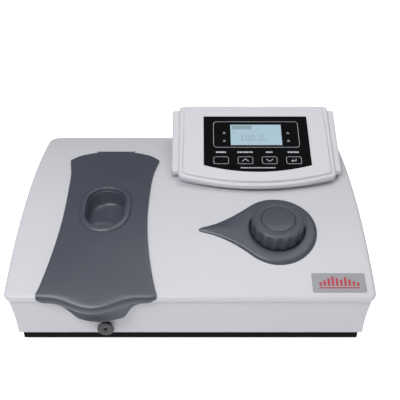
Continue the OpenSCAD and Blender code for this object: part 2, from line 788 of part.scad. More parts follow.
module main_board() color([0.1, 0.35, 0.2]) {
    block([136, -118, 13], [188, 50, 14.6]);
    for (x = [140, 184], y = [-112, 44]) bar_z(x, y, 3.5, foot_h + 2, 13);
    for (y = [-100, -60, -20]) block([146, y, 14.5], [170, y + 14, 18]);
    for (y = [-76, 0, 20]) bar_z(178, y, 5, 14.5, 30);
}

module power_supply() color([0.65, 0.66, 0.68]) {
    difference() {
        block([40, 62, foot_h + 2], [132, 122, 50]);
        block([42, 64, foot_h + 4], [130, 120, 51]);
    }
    bar_z(68, 92, 23, foot_h + 3.9, 40);
    block([96, 66, foot_h + 3.9], [128, 118, 34]);
}

module fan_frame() color([0.09, 0.09, 0.09]) difference() {
    union() {
        difference() {
            translate([fan_x, inner_back - 20.2, fan_z]) rotate([-90, 0, 0])
                linear_extrude(20) round_rect(fan_w, fan_w, 4);
            bar_y(fan_x, fan_z, 28, 100, 160);
        }
        bar_y(fan_x, fan_z, 12, inner_back - 20.2, inner_back - 17);
        for (a = [45, 135]) translate([fan_x, inner_back - 18.6, fan_z])
            rotate([0, a, 0]) cube([58, 3.2, 4], center = true);
        bar_y(fan_x, fan_z, 2, inner_back - 17.5, inner_back - 8);
    }
    for (x = [-25, 25], z = [-25, 25]) bar_y(fan_x + x, fan_z + z, 2.1, 100, 160);
}

// Rotor: hub on the frame's spindle with seven pitched blades
module fan_rotor() color([0.12, 0.12, 0.12]) difference() {
    union() {
        bar_y(fan_x, fan_z, 12, inner_back - 16, inner_back - 3);
        for (i = [0 : 6]) translate([fan_x, inner_back - 9.5, fan_z]) rotate([0, i * 360 / 7, 0])
            rotate([0, 0, 35]) translate([-6.5, -0.75, 8]) cube([13, 1.5, 18.5]);
    }
    bar_y(fan_x, fan_z, 2 + run_gap, inner_back - 20, inner_back - 7);
}

module fan_guard() color([0.8, 0.81, 0.82]) {
    for (r = [9, 16, 23]) translate([fan_x, rear_y + 1.6, fan_z]) rotate([90, 0, 0])
        rotate_extrude() translate([r, 0]) circle(r = 0.8, $fn = 24);
    for (a = [45, 135]) translate([fan_x, rear_y + 1.1, fan_z]) rotate([0, a, 0])
        cube([76, 1.6, 1.8], center = true);
}

module mains_inlet() color([0.08, 0.08, 0.08]) {
    difference() {
        union() {
            block([inlet_x - 13.8, 132, inlet_z - 10.2], [inlet_x + 13.8, rear_y + 0.5, inlet_z + 10.2]);
            block([inlet_x - 17, rear_y, inlet_z - 20], [inlet_x + 17, rear_y + 3, inlet_z + 12.5]);
        }
        block([inlet_x - 12.2, 136, inlet_z - 7.8], [inlet_x + 12.2, 160, inlet_z + 8.2]);
        block([inlet_x - 11, rear_y - 0.1, inlet_z - 18], [inlet_x + 11, 160, inlet_z - 10.8]);
    }
    for (x = [-7, 0, 7]) block([inlet_x + x - 1, 135, inlet_z - (x == 0 ? -1 : 3)],
        [inlet_x + x + 1, rear_y - 3, inlet_z + (x == 0 ? 5 : 1)]);
}

module fuse_drawer() color([0.14, 0.14, 0.14])
    block([inlet_x - 10.8, rear_y + 0.1, inlet_z - 17.8], [inlet_x + 10.8, rear_y + 3.6, inlet_z - 11]);

module switch_frame() color([0.06, 0.06, 0.06]) difference() {
    union() {
        block([switch_x - 10.6, 132, inlet_z - 7], [switch_x + 10.6, rear_y + 0.5, inlet_z + 7]);
        block([switch_x - 12.5, rear_y, inlet_z - 9], [switch_x + 12.5, rear_y + 1.8, inlet_z + 9]);
    }
    block([switch_x - 8.8, 138, inlet_z - 5.4], [switch_x + 8.8, 160, inlet_z + 5.4]);
}

// Rocker of the mains switch, a shallow V resting on its off side
module power_rocker() color([0.65, 0.08, 0.08]) translate([switch_x, rear_y - 2, inlet_z])
    rotate([0, 0, rocker_rest]) linear_extrude(10.2, center = true)
        polygon([[-7.7, 4.7], [0, 3.2], [7.7, 4.7], [7, -2], [0, -4], [-7, -2]]);

module serial_port() color([0.75, 0.76, 0.78]) difference() {
    union() {
        block([serial_x - 9.6, 140, inlet_z - 5.4], [serial_x + 9.6, 156, inlet_z + 5.4]);
        block([serial_x - 15.4, rear_y, inlet_z - 6.2], [serial_x + 15.4, rear_y + 1, inlet_z + 6.2]);
        for (s = [-1, 1]) translate([serial_x + s * 12.5, rear_y, inlet_z]) rotate([-90, 0, 0])
            cylinder(r = 2.4, h = 5, $fn = 6);
    }
    block([serial_x - 8.6, rear_y - 1.5, inlet_z - 4.4], [serial_x + 8.6, 160, inlet_z + 4.4]);
}

top_cover();
base_pan();
rubber_feet();
rear_panel();
panel_screws();
badge_plate();
display_pod();
display_overlay();
lcd_window();
lcd_module();
display_board();
key_mode();
key_up();
key_down();
key_enter();
sample_lid();
lid_pull_cup();
lid_hinge_brackets();
lid_hinge_pin();
sample_well();
cell_carriage();
carriage_rails();
pull_rod();
rod_knob();
rod_bush();
knob_bezel();
wavelength_knob();
knob_cap();
knob_shaft();
knob_bush();
camshaft();
wavelength_cam();
wavelength_encoder();
grating_arm();
cam_follower();
grating_shaft();
grating_holder();
diffraction_grating();
mono_housing();
mono_cover();
exit_slit();
entrance_slit();
lens_mount();
condenser_lens();
lamp_housing();
lamp_socket();
halogen_lamp();
detector_housing();
detector_board();
photodiode();
main_board();
power_supply();
fan_frame();
fan_rotor();
fan_guard();
mains_inlet();
fuse_drawer();
switch_frame();
power_rocker();
serial_port();
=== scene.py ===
"""Bench-top spectrophotometer: outer mouldings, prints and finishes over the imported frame.

Lengths below are millimetres in the frame of the part; each mesh is scaled to metres when it
is made. The case top is an arch, a cylinder along X, and most mouldings follow it.
"""

import json
import math

import bpy
import numpy as np
from mathutils import Matrix, Vector


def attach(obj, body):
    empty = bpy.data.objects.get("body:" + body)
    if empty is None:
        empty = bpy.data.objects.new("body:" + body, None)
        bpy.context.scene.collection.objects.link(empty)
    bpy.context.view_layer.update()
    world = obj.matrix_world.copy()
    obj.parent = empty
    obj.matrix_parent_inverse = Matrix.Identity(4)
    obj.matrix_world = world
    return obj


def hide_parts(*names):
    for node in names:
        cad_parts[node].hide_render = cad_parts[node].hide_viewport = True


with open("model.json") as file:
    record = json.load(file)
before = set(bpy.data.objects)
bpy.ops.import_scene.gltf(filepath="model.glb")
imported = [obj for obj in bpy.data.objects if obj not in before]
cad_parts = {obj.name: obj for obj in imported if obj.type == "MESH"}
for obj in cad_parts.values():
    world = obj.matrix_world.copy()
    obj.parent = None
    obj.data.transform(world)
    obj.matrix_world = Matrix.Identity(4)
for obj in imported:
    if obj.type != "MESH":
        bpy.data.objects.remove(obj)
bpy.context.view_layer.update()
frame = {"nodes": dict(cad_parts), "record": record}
nodes = frame["nodes"]
MM = 0.001

# ---- sizes shared with the part ---------------------------------------------------------

ARCH_R, ARCH_Y, ARCH_Z = 540.0, 75.0, -418.0
SIDE_X, FRONT_Y, BACK_Y, SKIRT_Z = 205.0, -141.0, 152.0, 17.0
LEDGE_R = 5.0
LID_X, LID_T, LID_GAP = -103.0, 3.6, 0.35
LID_MID = -102.3
LID_TOP_R = ARCH_R + LID_GAP + LID_T
HINGE_Y, HINGE_Z = 93.0, 123.8
CUP_Y = -25.75
KNOB_X, KNOB_Y, KNOB_TILT = 101.5, -56.5, math.radians(10)
POD_X, FACE_Z, SLOPE = 84.0, 129.4, math.radians(23)
KEY_V, WINDOW_V, KEY_W, KEY_H, KEY_PITCH = 40.4, 81.6, 20.7, 13.0, 30.8
ROD_X, ROD_Z = -96.0, 29.2


def arch(y, r=ARCH_R):
    """Height of the arched top at a place from front to back."""
    return ARCH_Z + np.sqrt(r * r - (ARCH_Y - np.asarray(y, float)) ** 2)


KNOB_Z = float(arch(KNOB_Y))
KNOB_FRAME = Matrix.Translation((KNOB_X, KNOB_Y, KNOB_Z)) @ Matrix.Rotation(KNOB_TILT, 4, "X")
FACE_FRAME = Matrix.Translation((POD_X, 0, FACE_Z)) @ Matrix.Rotation(SLOPE, 4, "X")


def placed(points, matrix):
    """Points moved from a local frame into the frame of the part."""
    m = np.array(matrix)
    return np.asarray(points, float) @ m[:3, :3].T + m[:3, 3]


# ---- mesh tools -------------------------------------------------------------------------

def rounded_outline(cx, cy, w, d, r, across=24, along=24, corner=5, r_back=None):
    """Rounded rectangle as a loop of points and outward normals, with its counts per side."""
    r_back = r if r_back is None else r_back
    radii = {(-1, -1): r, (1, -1): r, (1, 1): r_back, (-1, 1): r_back}
    points, normals = [], []

    def arc(sx, sy, a0, a1):
        rr = radii[(sx, sy)]
        x, y = cx + sx * (w / 2 - rr), cy + sy * (d / 2 - rr)
        for a in np.linspace(a0, a1, corner + 1)[:-1]:
            points.append((x + rr * math.cos(a), y + rr * math.sin(a)))
            normals.append((math.cos(a), math.sin(a)))

    def run(p, q, normal, n):
        for t in np.linspace(0, 1, n + 1)[:-1]:
            points.append((p[0] + (q[0] - p[0]) * t, p[1] + (q[1] - p[1]) * t))
            normals.append(normal)

    x0, x1, y0, y1 = cx - w / 2, cx + w / 2, cy - d / 2, cy + d / 2
    q = math.pi / 4
    arc(-1, -1, -3 * q, -2 * q)
    run((x0 + r, y0), (x1 - r, y0), (0, -1), across)
    arc(1, -1, -2 * q, -q)
    arc(1, -1, -q, 0)
    run((x1, y0 + r), (x1, y1 - r_back), (1, 0), along)
    arc(1, 1, 0, q)
    arc(1, 1, q, 2 * q)
    run((x1 - r_back, y1), (x0 + r_back, y1), (0, 1), across)
    arc(-1, 1, 2 * q, 3 * q)
    arc(-1, 1, 3 * q, 4 * q)
    run((x0, y1 - r_back), (x0, y0 + r), (-1, 0), along)
    arc(-1, -1, 4 * q, 5 * q)
    return np.array(points), np.array(normals), (across + 2 * corner, along + 2 * corner)


def patch(loop, counts, height=None):
    """Grid of points that fills a four-sided loop."""
    na, nb = counts
    n = 2 * (na + nb)
    i, j = np.arange(na + 1), np.arange(nb + 1)
    front, right = loop[i], loop[na + j]
    back, left = loop[na + nb + na - i], loop[(2 * na + nb + nb - j) % n]
    u, v = (i / na)[:, None, None], (j / nb)[None, :, None]
    grid = ((1 - v) * front[:, None] + v * back[:, None] + (1 - u) * left[None] + u * right[None]
            - (1 - u) * (1 - v) * front[0] - u * (1 - v) * front[-1]
            - (1 - u) * v * back[0] - u * v * back[-1])
    if height is not None:
        grid[..., 2] = height(grid[..., 0], grid[..., 1])
    return grid


def loft(rings, counts=None, caps=(None, None), ends=("grid", "grid"), cyclic=False):
    """Closed sheet through loops of points, from the first one out and down to the last."""
    rings = [np.asarray(r, float) for r in rings]
    n = len(rings[0])
    verts = list(np.concatenate(rings))
    faces = []
    steps = len(rings) if cyclic else len(rings) - 1
    for k in range(steps):
        a, b = k * n, ((k + 1) % len(rings)) * n
        for i in range(n):
            j = (i + 1) % n
            faces.append((a + i, b + i, b + j, a + j))
    if cyclic:
        return np.array(verts), faces
    for which in (0, 1):
        base = 0 if which == 0 else (len(rings) - 1) * n
        if ends[which] == "flat":
            loop = [base + i for i in range(n)]
            faces.append(tuple(loop if which == 0 else loop[::-1]))
            continue
        na, nb = counts
        grid = patch(rings[0 if which == 0 else -1], counts, caps[which])
        index = np.empty((na + 1, nb + 1), int)
        for i in range(na + 1):
            for j in range(nb + 1):
                if j == 0:
                    index[i, j] = base + i
                elif i == na:
                    index[i, j] = base + na + j
                elif j == nb:
                    index[i, j] = base + na + nb + na - i
                elif i == 0:
                    index[i, j] = base + (2 * na + nb + nb - j) % n
                else:
                    index[i, j] = len(verts)
                    verts.append(grid[i, j])
        for i in range(na):
            for j in range(nb):
                quad = (index[i, j], index[i + 1, j], index[i + 1, j + 1], index[i, j + 1])
                faces.append(tuple(int(v) for v in (quad if which == 0 else quad[::-1])))
    return np.array(verts), faces


def turned(profile, steps=96, reach=None):
    """Solid turned about Z from (radius, height) pairs, from the top to the underside."""
    angles = np.linspace(0, 2 * math.pi, steps + 1)[:-1]
    rings = []
    for r, z in profile:
        rr = np.full(steps, float(r)) if reach is None else reach(angles, r, z)
        rings.append(np.stack([rr * np.cos(angles), rr * np.sin(angles), np.full(steps, z)], 1))
    return loft(rings, ends=("flat", "flat"))


def joined(parts):
    """Several meshes as one list of points and faces."""
    verts, faces = [], []
    for v, f in parts:
        base = len(verts)
        verts.extend(np.asarray(v, float))
        faces.extend(tuple(base + i for i in face) for face in f)
    return np.array(verts), faces


def prism(loop, z0, z1):
    """Straight solid over a loop of plan points."""
    loop = np.asarray(loop, float)
    top = np.column_stack([loop, np.full(len(loop), z1)])
    low = np.column_stack([loop, np.full(len(loop), z0)])
    return loft([top, low], ends=("flat", "flat"))


def slab_box(x0, x1, y0, y1, z0, z1):
    return prism([(x0, y0), (x1, y0), (x1, y1), (x0, y1)], z0, z1)


def raw_mesh(name, verts, faces):
    mesh = bpy.data.meshes.new(name)
    mesh.from_pydata((np.asarray(verts) * MM).tolist(), [], faces)
    mesh.update()
    thing = bpy.data.objects.new(name, mesh)
    bpy.context.scene.collection.objects.link(thing)
    return thing


def baked(thing):
    """The object's modifiers made part of its mesh."""
    graph = bpy.context.evaluated_depsgraph_get()
    mesh = bpy.data.meshes.new_from_object(thing.evaluated_get(graph))
    old = thing.data
    thing.modifiers.clear()
    thing.data = mesh
    mesh.name = thing.name
    bpy.data.meshes.remove(old)


def combine(thing, verts, faces, operation="DIFFERENCE"):
    """Cuts a solid out of a piece, or adds one to it."""
    tool = raw_mesh("tool", verts, faces)
    change = thing.modifiers.new("combine", "BOOLEAN")
    change.operation = operation
    change.solver = "EXACT"
    change.object = tool
    baked(thing)
    bpy.data.objects.remove(tool)


def dress(thing, body, material, stands_for=(), sharp=35):
    """Smooth shading, finish and body for a piece whose mesh is done."""
    mesh = thing.data
    mesh.polygons.foreach_set("use_smooth", [True] * len(mesh.polygons))
    mesh.set_sharp_from_angle(angle=math.radians(sharp))
    mesh.materials.clear()
    mesh.materials.append(material)
    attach(thing, body)
    if stands_for:
        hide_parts(*stands_for)
    return thing


def piece(name, shape, body, material, stands_for=(), sharp=35):
    return dress(raw_mesh(name, *shape), body, material, stands_for, sharp)


# ---- finishes ---------------------------------------------------------------------------

def srgb(r, g, b):
    """Linear colour for a display colour of 0 to 255."""
    def channel(c):
        c /= 255.0
        return c / 12.92 if c <= 0.04045 else ((c + 0.055) / 1.055) ** 2.4
    return (channel(r), channel(g), channel(b), 1.0)


def new_group(name, inputs, outputs):
    group = bpy.data.node_groups.new(name, "ShaderNodeTree")
    for label, kind, value in inputs:
        socket = group.interface.new_socket(name=label, in_out="INPUT", socket_type=kind)
        socket.default_value = value
    for label, kind in outputs:
        group.interface.new_socket(name=label, in_out="OUTPUT", socket_type=kind)
    return group, group.nodes.new("NodeGroupInput"), group.nodes.new("NodeGroupOutput")


def node(tree, kind, **values):
    made = tree.nodes.new(kind)
    for key, value in values.items():
        setattr(made, key, value)
    return made


def maths(tree, operation, a, b=None, clamp=False):
    made = node(tree, "ShaderNodeMath", operation=operation, use_clamp=clamp)
    for slot, value in ((0, a), (1, b)):
        if value is None:
            continue
        if hasattr(value, "is_output"):
            tree.links.new(value, made.inputs[slot])
        else:
            made.inputs[slot].default_value = value
    return made.outputs[0]


def build_surface_group():
    """Cloudy tone, fine grain, worn edges and a little dust, from the place on the object."""
    group, inlet, outlet = new_group(
        "moulded_surface",
        [("Cloud Scale", "NodeSocketFloat", 9.0), ("Grain Scale", "NodeSocketFloat", 900.0),
         ("Edge Width", "NodeSocketFloat", 0.0006)],
        [("Cloud", "NodeSocketFloat"), ("Grain", "NodeSocketFloat"),
         ("Worn Edge", "NodeSocketFloat"), ("Dust", "NodeSocketFloat")])
    link = group.links.new
    place = node(group, "ShaderNodeTexCoord").outputs["Object"]

    cloud = node(group, "ShaderNodeTexNoise")
    cloud.inputs["Detail"].default_value = 3.0
    link(place, cloud.inputs["Vector"])
    link(inlet.outputs["Cloud Scale"], cloud.inputs["Scale"])
    link(cloud.outputs["Fac"], outlet.inputs["Cloud"])

    grain = node(group, "ShaderNodeTexNoise")
    grain.inputs["Detail"].default_value = 2.0
    link(place, grain.inputs["Vector"])
    link(inlet.outputs["Grain Scale"], grain.inputs["Scale"])
    link(grain.outputs["Fac"], outlet.inputs["Grain"])

    rounded = node(group, "ShaderNodeBevel", samples=4)
    link(inlet.outputs["Edge Width"], rounded.inputs["Radius"])
    geometry = node(group, "ShaderNodeNewGeometry")
    facing = node(group, "ShaderNodeVectorMath", operation="DOT_PRODUCT")
    link(rounded.outputs["Normal"], facing.inputs[0])
    link(geometry.outputs["Normal"], facing.inputs[1])
    edge = maths(group, "MULTIPLY", maths(group, "SUBTRACT", 1.0, facing.outputs["Value"]), 5.0, True)
    patchy = node(group, "ShaderNodeTexNoise")
    patchy.inputs["Scale"].default_value = 70.0
    link(place, patchy.inputs["Vector"])
    link(maths(group, "MULTIPLY", edge, patchy.outputs["Fac"]), outlet.inputs["Worn Edge"])

    up = node(group, "ShaderNodeSeparateXYZ")
    link(geometry.outputs["Normal"], up.inputs[0])
    speck = node(group, "ShaderNodeTexNoise")
    speck.inputs["Scale"].default_value = 38.0
    speck.inputs["Detail"].default_value = 6.0
    link(place, speck.inputs["Vector"])
    settled = maths(group, "MULTIPLY", maths(group, "MAXIMUM", up.outputs["Z"], 0.0),
                    maths(group, "SUBTRACT", speck.outputs["Fac"], 0.45, True))
    link(settled, outlet.inputs["Dust"])
    return group


def build_brushed_group():
    """Fine parallel lines left by rolling or grinding, running along X."""
    group, inlet, outlet = new_group(
        "drawn_lines",
        [("Line Scale", "NodeSocketFloat", 60.0), ("Stretch", "NodeSocketFloat", 0.03)],
        [("Lines", "NodeSocketFloat")])
    link = group.links.new
    place = node(group, "ShaderNodeTexCoord").outputs["Object"]
    parts = node(group, "ShaderNodeSeparateXYZ")
    link(place, parts.inputs[0])
    squeezed = node(group, "ShaderNodeCombineXYZ")
    link(maths(group, "MULTIPLY", parts.outputs["X"], inlet.outputs["Stretch"]), squeezed.inputs["X"])
    link(parts.outputs["Y"], squeezed.inputs["Y"])
    link(parts.outputs["Z"], squeezed.inputs["Z"])
    lines = node(group, "ShaderNodeTexNoise")
    lines.inputs["Detail"].default_value = 4.0
    link(squeezed.outputs[0], lines.inputs["Vector"])
    link(maths(group, "MULTIPLY", inlet.outputs["Line Scale"], 50.0), lines.inputs["Scale"])
    link(lines.outputs["Fac"], outlet.inputs["Lines"])
    return group


SURFACE = build_surface_group()
DRAWN = build_brushed_group()


def mix_colour(tree, factor, a, b):
    made = node(tree, "ShaderNodeMix", data_type="RGBA")
    for index, value in ((6, a), (7, b)):
        if hasattr(value, "is_output"):
            tree.links.new(value, made.inputs[index])
        else:
            made.inputs[index].default_value = value
    tree.links.new(factor, made.inputs[0])
    return made.outputs[2]


def shade(colour, k):
    return tuple(min(1.0, c * k) for c in colour[:3]) + (1.0,)


def finish(name, colour, roughness, metallic=0.0, worn=None, grain=900.0, bump=0.00002,
           spread=0.06, edge=0.0006, coat=0.0, drawn=False, dust=0.1, cloud=9.0,
           rough_spread=0.1, specular=None):
    """A surface finish: tone that drifts, grain in the gloss and relief, edges rubbed paler."""
    material = bpy.data.materials.new(name)
    material.use_nodes = True
    tree = material.node_tree
    shader = tree.nodes["Principled BSDF"]
    link = tree.links.new
    surface = node(tree, "ShaderNodeGroup", node_tree=SURFACE)
    surface.inputs["Cloud Scale"].default_value = cloud
    surface.inputs["Grain Scale"].default_value = grain
    surface.inputs["Edge Width"].default_value = edge
    tone = mix_colour(tree, surface.outputs["Cloud"], shade(colour, 1 - spread), shade(colour, 1 + spread))
    rub = maths(tree, "MULTIPLY", surface.outputs["Worn Edge"], 0.6, True)
    tone = mix_colour(tree, rub, tone, worn or shade(colour, 1.25))
    settled = maths(tree, "MULTIPLY", surface.outputs["Dust"], dust, True)
    tone = mix_colour(tree, settled, tone, (0.5, 0.49, 0.47, 1))
    link(tone, shader.inputs["Base Color"])
    relief = surface.outputs["Grain"]
    if drawn:
        lines = node(tree, "ShaderNodeGroup", node_tree=DRAWN)
        relief = maths(tree, "ADD", relief, maths(tree, "MULTIPLY", lines.outputs["Lines"], 2.0))
    polish = maths(tree, "ADD", maths(tree, "MULTIPLY", surface.outputs["Grain"], rough_spread),
                   maths(tree, "MULTIPLY", surface.outputs["Cloud"], rough_spread))
    polish = maths(tree, "ADD", polish, roughness - rough_spread, True)
    link(polish, shader.inputs["Roughness"])
    raised = node(tree, "ShaderNodeBump")
    raised.inputs["Strength"].default_value = 1.0
    raised.inputs["Distance"].default_value = bump
    link(relief, raised.inputs["Height"])
    link(raised.outputs["Normal"], shader.inputs["Normal"])
    shader.inputs["Metallic"].default_value = metallic
    if coat:
        shader.inputs["Coat Weight"].default_value = coat
        shader.inputs["Coat Roughness"].default_value = 0.12
    if specular is not None:
        shader.inputs["Specular IOR Level"].default_value = specular
    return material


def clear_glass(name, tint):
    material = finish(name, tint, 0.05, bump=0.000002, spread=0.02, dust=0.02, rough_spread=0.02)
    shader = material.node_tree.nodes["Principled BSDF"]
    shader.inputs["Transmission Weight"].default_value = 0.9
    shader.inputs["IOR"].default_value = 1.5
    return material


WHITE = srgb(196, 196, 201)
GREY = srgb(63, 68, 79)
FINISH = {
    "white_shell": finish("white_shell", WHITE, 0.42, grain=1400, bump=0.00003, spread=0.015,
                          worn=srgb(214, 213, 212), dust=0.03),
    "grey_plastic": finish("grey_plastic", GREY, 0.36, grain=1300, bump=0.00004, spread=0.05,
                           worn=srgb(100, 104, 116), dust=0.03),
    "knob_plastic": finish("knob_plastic", srgb(66, 70, 80), 0.36, grain=1300, bump=0.00003,
                           spread=0.05, worn=srgb(126, 129, 140), dust=0.05),
    "rod_knob_plastic": finish("rod_knob_plastic", srgb(36, 40, 44), 0.45, grain=1100,
                               bump=0.00003, worn=srgb(100, 104, 108)),
    "black_plastic": finish("black_plastic", srgb(30, 30, 32), 0.5, grain=1000, bump=0.00004,
                            worn=srgb(62, 62, 64)),
    "panel_film": finish("panel_film", srgb(9, 9, 11), 0.5, grain=2200, bump=0.000008,
                         worn=srgb(20, 20, 23), dust=0.0, spread=0.1, specular=0.03),
    "lcd_glass": finish("lcd_glass", srgb(146, 172, 186), 0.35, grain=2500, bump=0.000004,
                        spread=0.06, cloud=18, worn=srgb(190, 210, 216), dust=0.0),
    "lcd_frame": finish("lcd_frame", srgb(150, 152, 154), 0.35, metallic=1.0, drawn=True,
                        bump=0.00001),
    "board": finish("board", srgb(24, 84, 48), 0.38, grain=500, bump=0.00006, spread=0.2,
                    cloud=60, worn=srgb(150, 130, 70)),
    "base_steel": finish("base_steel", srgb(12, 12, 12), 0.6, grain=700, bump=0.00006,
                         worn=srgb(30, 30, 30), spread=0.1, specular=0.05, dust=0.0),
    "panel_metal": finish("panel_metal", srgb(186, 188, 190), 0.45, grain=800, bump=0.00005,
                          worn=srgb(150, 150, 152)),
    "rubber": finish("rubber", srgb(26, 26, 26), 0.8, grain=600, bump=0.00008, dust=0.3),
    "screw_steel": finish("screw_steel", srgb(190, 190, 192), 0.3, metallic=1.0, grain=900,
                          bump=0.00001, rough_spread=0.15),
    "bright_steel": finish("bright_steel", srgb(205, 206, 208), 0.2, metallic=1.0, drawn=True,
                           bump=0.000006, dust=0.02),
    "badge_metal": finish("badge_metal", srgb(140, 141, 146), 0.42, metallic=0.1, drawn=True,
                          bump=0.000008, spread=0.05),
    "cast_black": finish("cast_black", srgb(34, 34, 36), 0.55, metallic=0.3, grain=500,
                         bump=0.00008, worn=srgb(120, 120, 122)),
    "lamp_metal": finish("lamp_metal", srgb(176, 178, 181), 0.4, metallic=1.0, drawn=True,
                         bump=0.00002),
    "arm_metal": finish("arm_metal", srgb(186, 188, 190), 0.32, metallic=1.0, drawn=True,
                        bump=0.00002),
    "brass": finish("brass", srgb(196, 165, 98), 0.28, metallic=1.0, drawn=True, bump=0.00001),
    "bronze": finish("bronze", srgb(120, 100, 72), 0.45, metallic=1.0, grain=700, bump=0.00005),
    "optic_glass": clear_glass("optic_glass", srgb(238, 245, 246)),
    "grating_coat": finish("grating_coat", srgb(205, 208, 218), 0.12, metallic=1.0, drawn=True,
                           bump=0.000004, dust=0.0, rough_spread=0.05),
    "ceramic": finish("ceramic", srgb(226, 220, 204), 0.3, grain=500, bump=0.00004, coat=0.3),
    "rocker_red": finish("rocker_red", srgb(178, 26, 22), 0.25, grain=900, bump=0.00001,
                         worn=srgb(210, 90, 80)),
    "fan_plastic": finish("fan_plastic", srgb(24, 24, 25), 0.45, grain=900, bump=0.00003),
    "guard_wire": finish("guard_wire", srgb(205, 205, 207), 0.18, metallic=1.0, grain=700,
                         bump=0.00001, rough_spread=0.1),
}
PANEL_PRINT = finish("panel_print", srgb(188, 192, 198), 0.5, grain=2000, bump=0.000002)
LCD_DARK = finish("lcd_dark", srgb(120, 140, 150), 0.4, grain=2000, bump=0.000002)
MOTIF_RED = finish("motif_red", srgb(168, 34, 52), 0.45, grain=1500, bump=0.000004)
for material, level in ((FINISH["lcd_glass"], 0.06), (LCD_DARK, 0.03)):
    lit = material.node_tree.nodes["Principled BSDF"]
    lit.inputs["Emission Color"].default_value = srgb(170, 205, 222)
    lit.inputs["Emission Strength"].default_value = level

SLOT_OF = {row["node"]: row["material_slot"] for row in frame["record"]["subparts"]}
for name, thing in nodes.items():
    thing.data.materials.clear()
    thing.data.materials.append(FINISH[SLOT_OF[name]])


# ---- case -------------------------------------------------------------------------------

def ledge_angles(normals, y):
    """Angle at which the round ledge leaves the arch, for each point of the outline."""
    return np.pi / 2 - np.abs(normals[:, 1]) * np.arcsin(np.abs(ARCH_Y - y) / ARCH_R)


def build_case():
    """White moulding: arched top, round ledge, coved skirt, open underneath."""
    outline, normals, counts = rounded_outline(
        0, (FRONT_Y + BACK_Y) / 2, 2 * SIDE_X, BACK_Y - FRONT_Y, 9, 64, 48, 6, r_back=16)
    rearward = np.clip(normals[:, 1], 0, 1)
    start = ledge_angles(normals, outline[:, 1])
    inset0 = LEDGE_R - LEDGE_R * np.cos(start)
    first = outline - normals * inset0[:, None]
    base = arch(first[:, 1]) + LEDGE_R - LEDGE_R * np.sin(start)
    rings = []

    def ring(inset, drop, floor=None):
        plan = outline - normals * np.broadcast_to(inset, len(outline))[:, None]
        z = base - drop if floor is None else np.full(len(outline), floor)
        rings.append(np.column_stack([plan, z]))

    for k in range(11):
        angle = start + (math.radians(-62) - start) * k / 10
        inset = LEDGE_R - LEDGE_R * np.cos(angle)
        inset = np.where(angle < 0, inset * (1 - rearward), inset)
        ring(inset, LEDGE_R - LEDGE_R * np.sin(angle))
    for drop, inset in ((9.9, 3.1), (11.5, 3.35), (15, 3.4)):
        ring(inset * (1 - rearward), drop)
    for drop in np.linspace(18, 54, 10):
        rise = 54 - drop
        ring((6.3 - rise * rise / 480) * (1 - rearward), drop)
    ring(6.3 * (1 - rearward), 0, SKIRT_Z + 0.6)
    ring(6.3 * (1 - rearward) + 0.6, 0, SKIRT_Z)
    wall = 9.3 - 6.3 * rearward
    ring(wall - 0.4, 0, SKIRT_Z)
    ring(wall, 0, SKIRT_Z + 0.5)
    inner = outline - normals * wall[:, None]
    rings.append(np.column_stack([inner, arch(inner[:, 1], ARCH_R - 14)]))
    rings.append(np.column_stack([inner, arch(inner[:, 1], ARCH_R - 3)]))
    shape = loft(rings, counts, caps=(lambda x, y: arch(y), lambda x, y: arch(y, ARCH_R - 3)))
    case = raw_mesh("case_moulding", *shape)
    opening, _, _ = rounded_outline(-103, -30, 78, 176, 4, 1, 1, 5)
    holes = [
        prism(opening, 60, 160),
        slab_box(-182, 182, 140, 160, 0, 100),
        slab_box(64, 104, 60, 74, 100, 140),
    ]
    round_hole = [(34.9 * math.cos(a), 34.9 * math.sin(a)) for a in np.linspace(0, 2 * math.pi, 97)[:-1]]
    v, f = prism(round_hole, -20, 20)
    holes.append((placed(v, KNOB_FRAME), f))
    for s in (-1, 1):
        x = LID_X + s * 23
        holes.append(slab_box(x - 3, x + 3, HINGE_Y - 2.2, HINGE_Y + 2.2, 110, 130))
    rod_hole = [(6.55 * math.cos(a), 6.55 * math.sin(a)) for a in np.linspace(0, 2 * math.pi, 49)[:-1]]
    v, f = prism(rod_hole, 0, 30)
    holes.append((placed(v, Matrix.Translation((ROD_X, -125, ROD_Z)) @ Matrix.Rotation(math.pi / 2, 4, "X")), f))
    combine(case, *joined(holes))
    return dress(case, "case", FINISH["white_shell"], ("top_cover",), 32)


build_case()


# ---- display pod ------------------------------------------------------------------------

def pod_height(drop, rear_drop):
    """Top of a tier: the sloping face, bending over to the steep back."""
    def height(x, y):
        face = FACE_Z + y * math.tan(SLOPE) - np.interp(y, (20, 120.5), (drop, rear_drop))
        crest = FACE_Z + 120.5 * math.tan(SLOPE) - rear_drop
        back = 117.0 + (150.0 - y) * (crest - 117.0) / 29.5
        k = 2.2
        h = np.clip(0.5 + 0.5 * (back - face) / k, 0, 1)
        return back * (1 - h) + face * h - k * h * (1 - h)
    return height


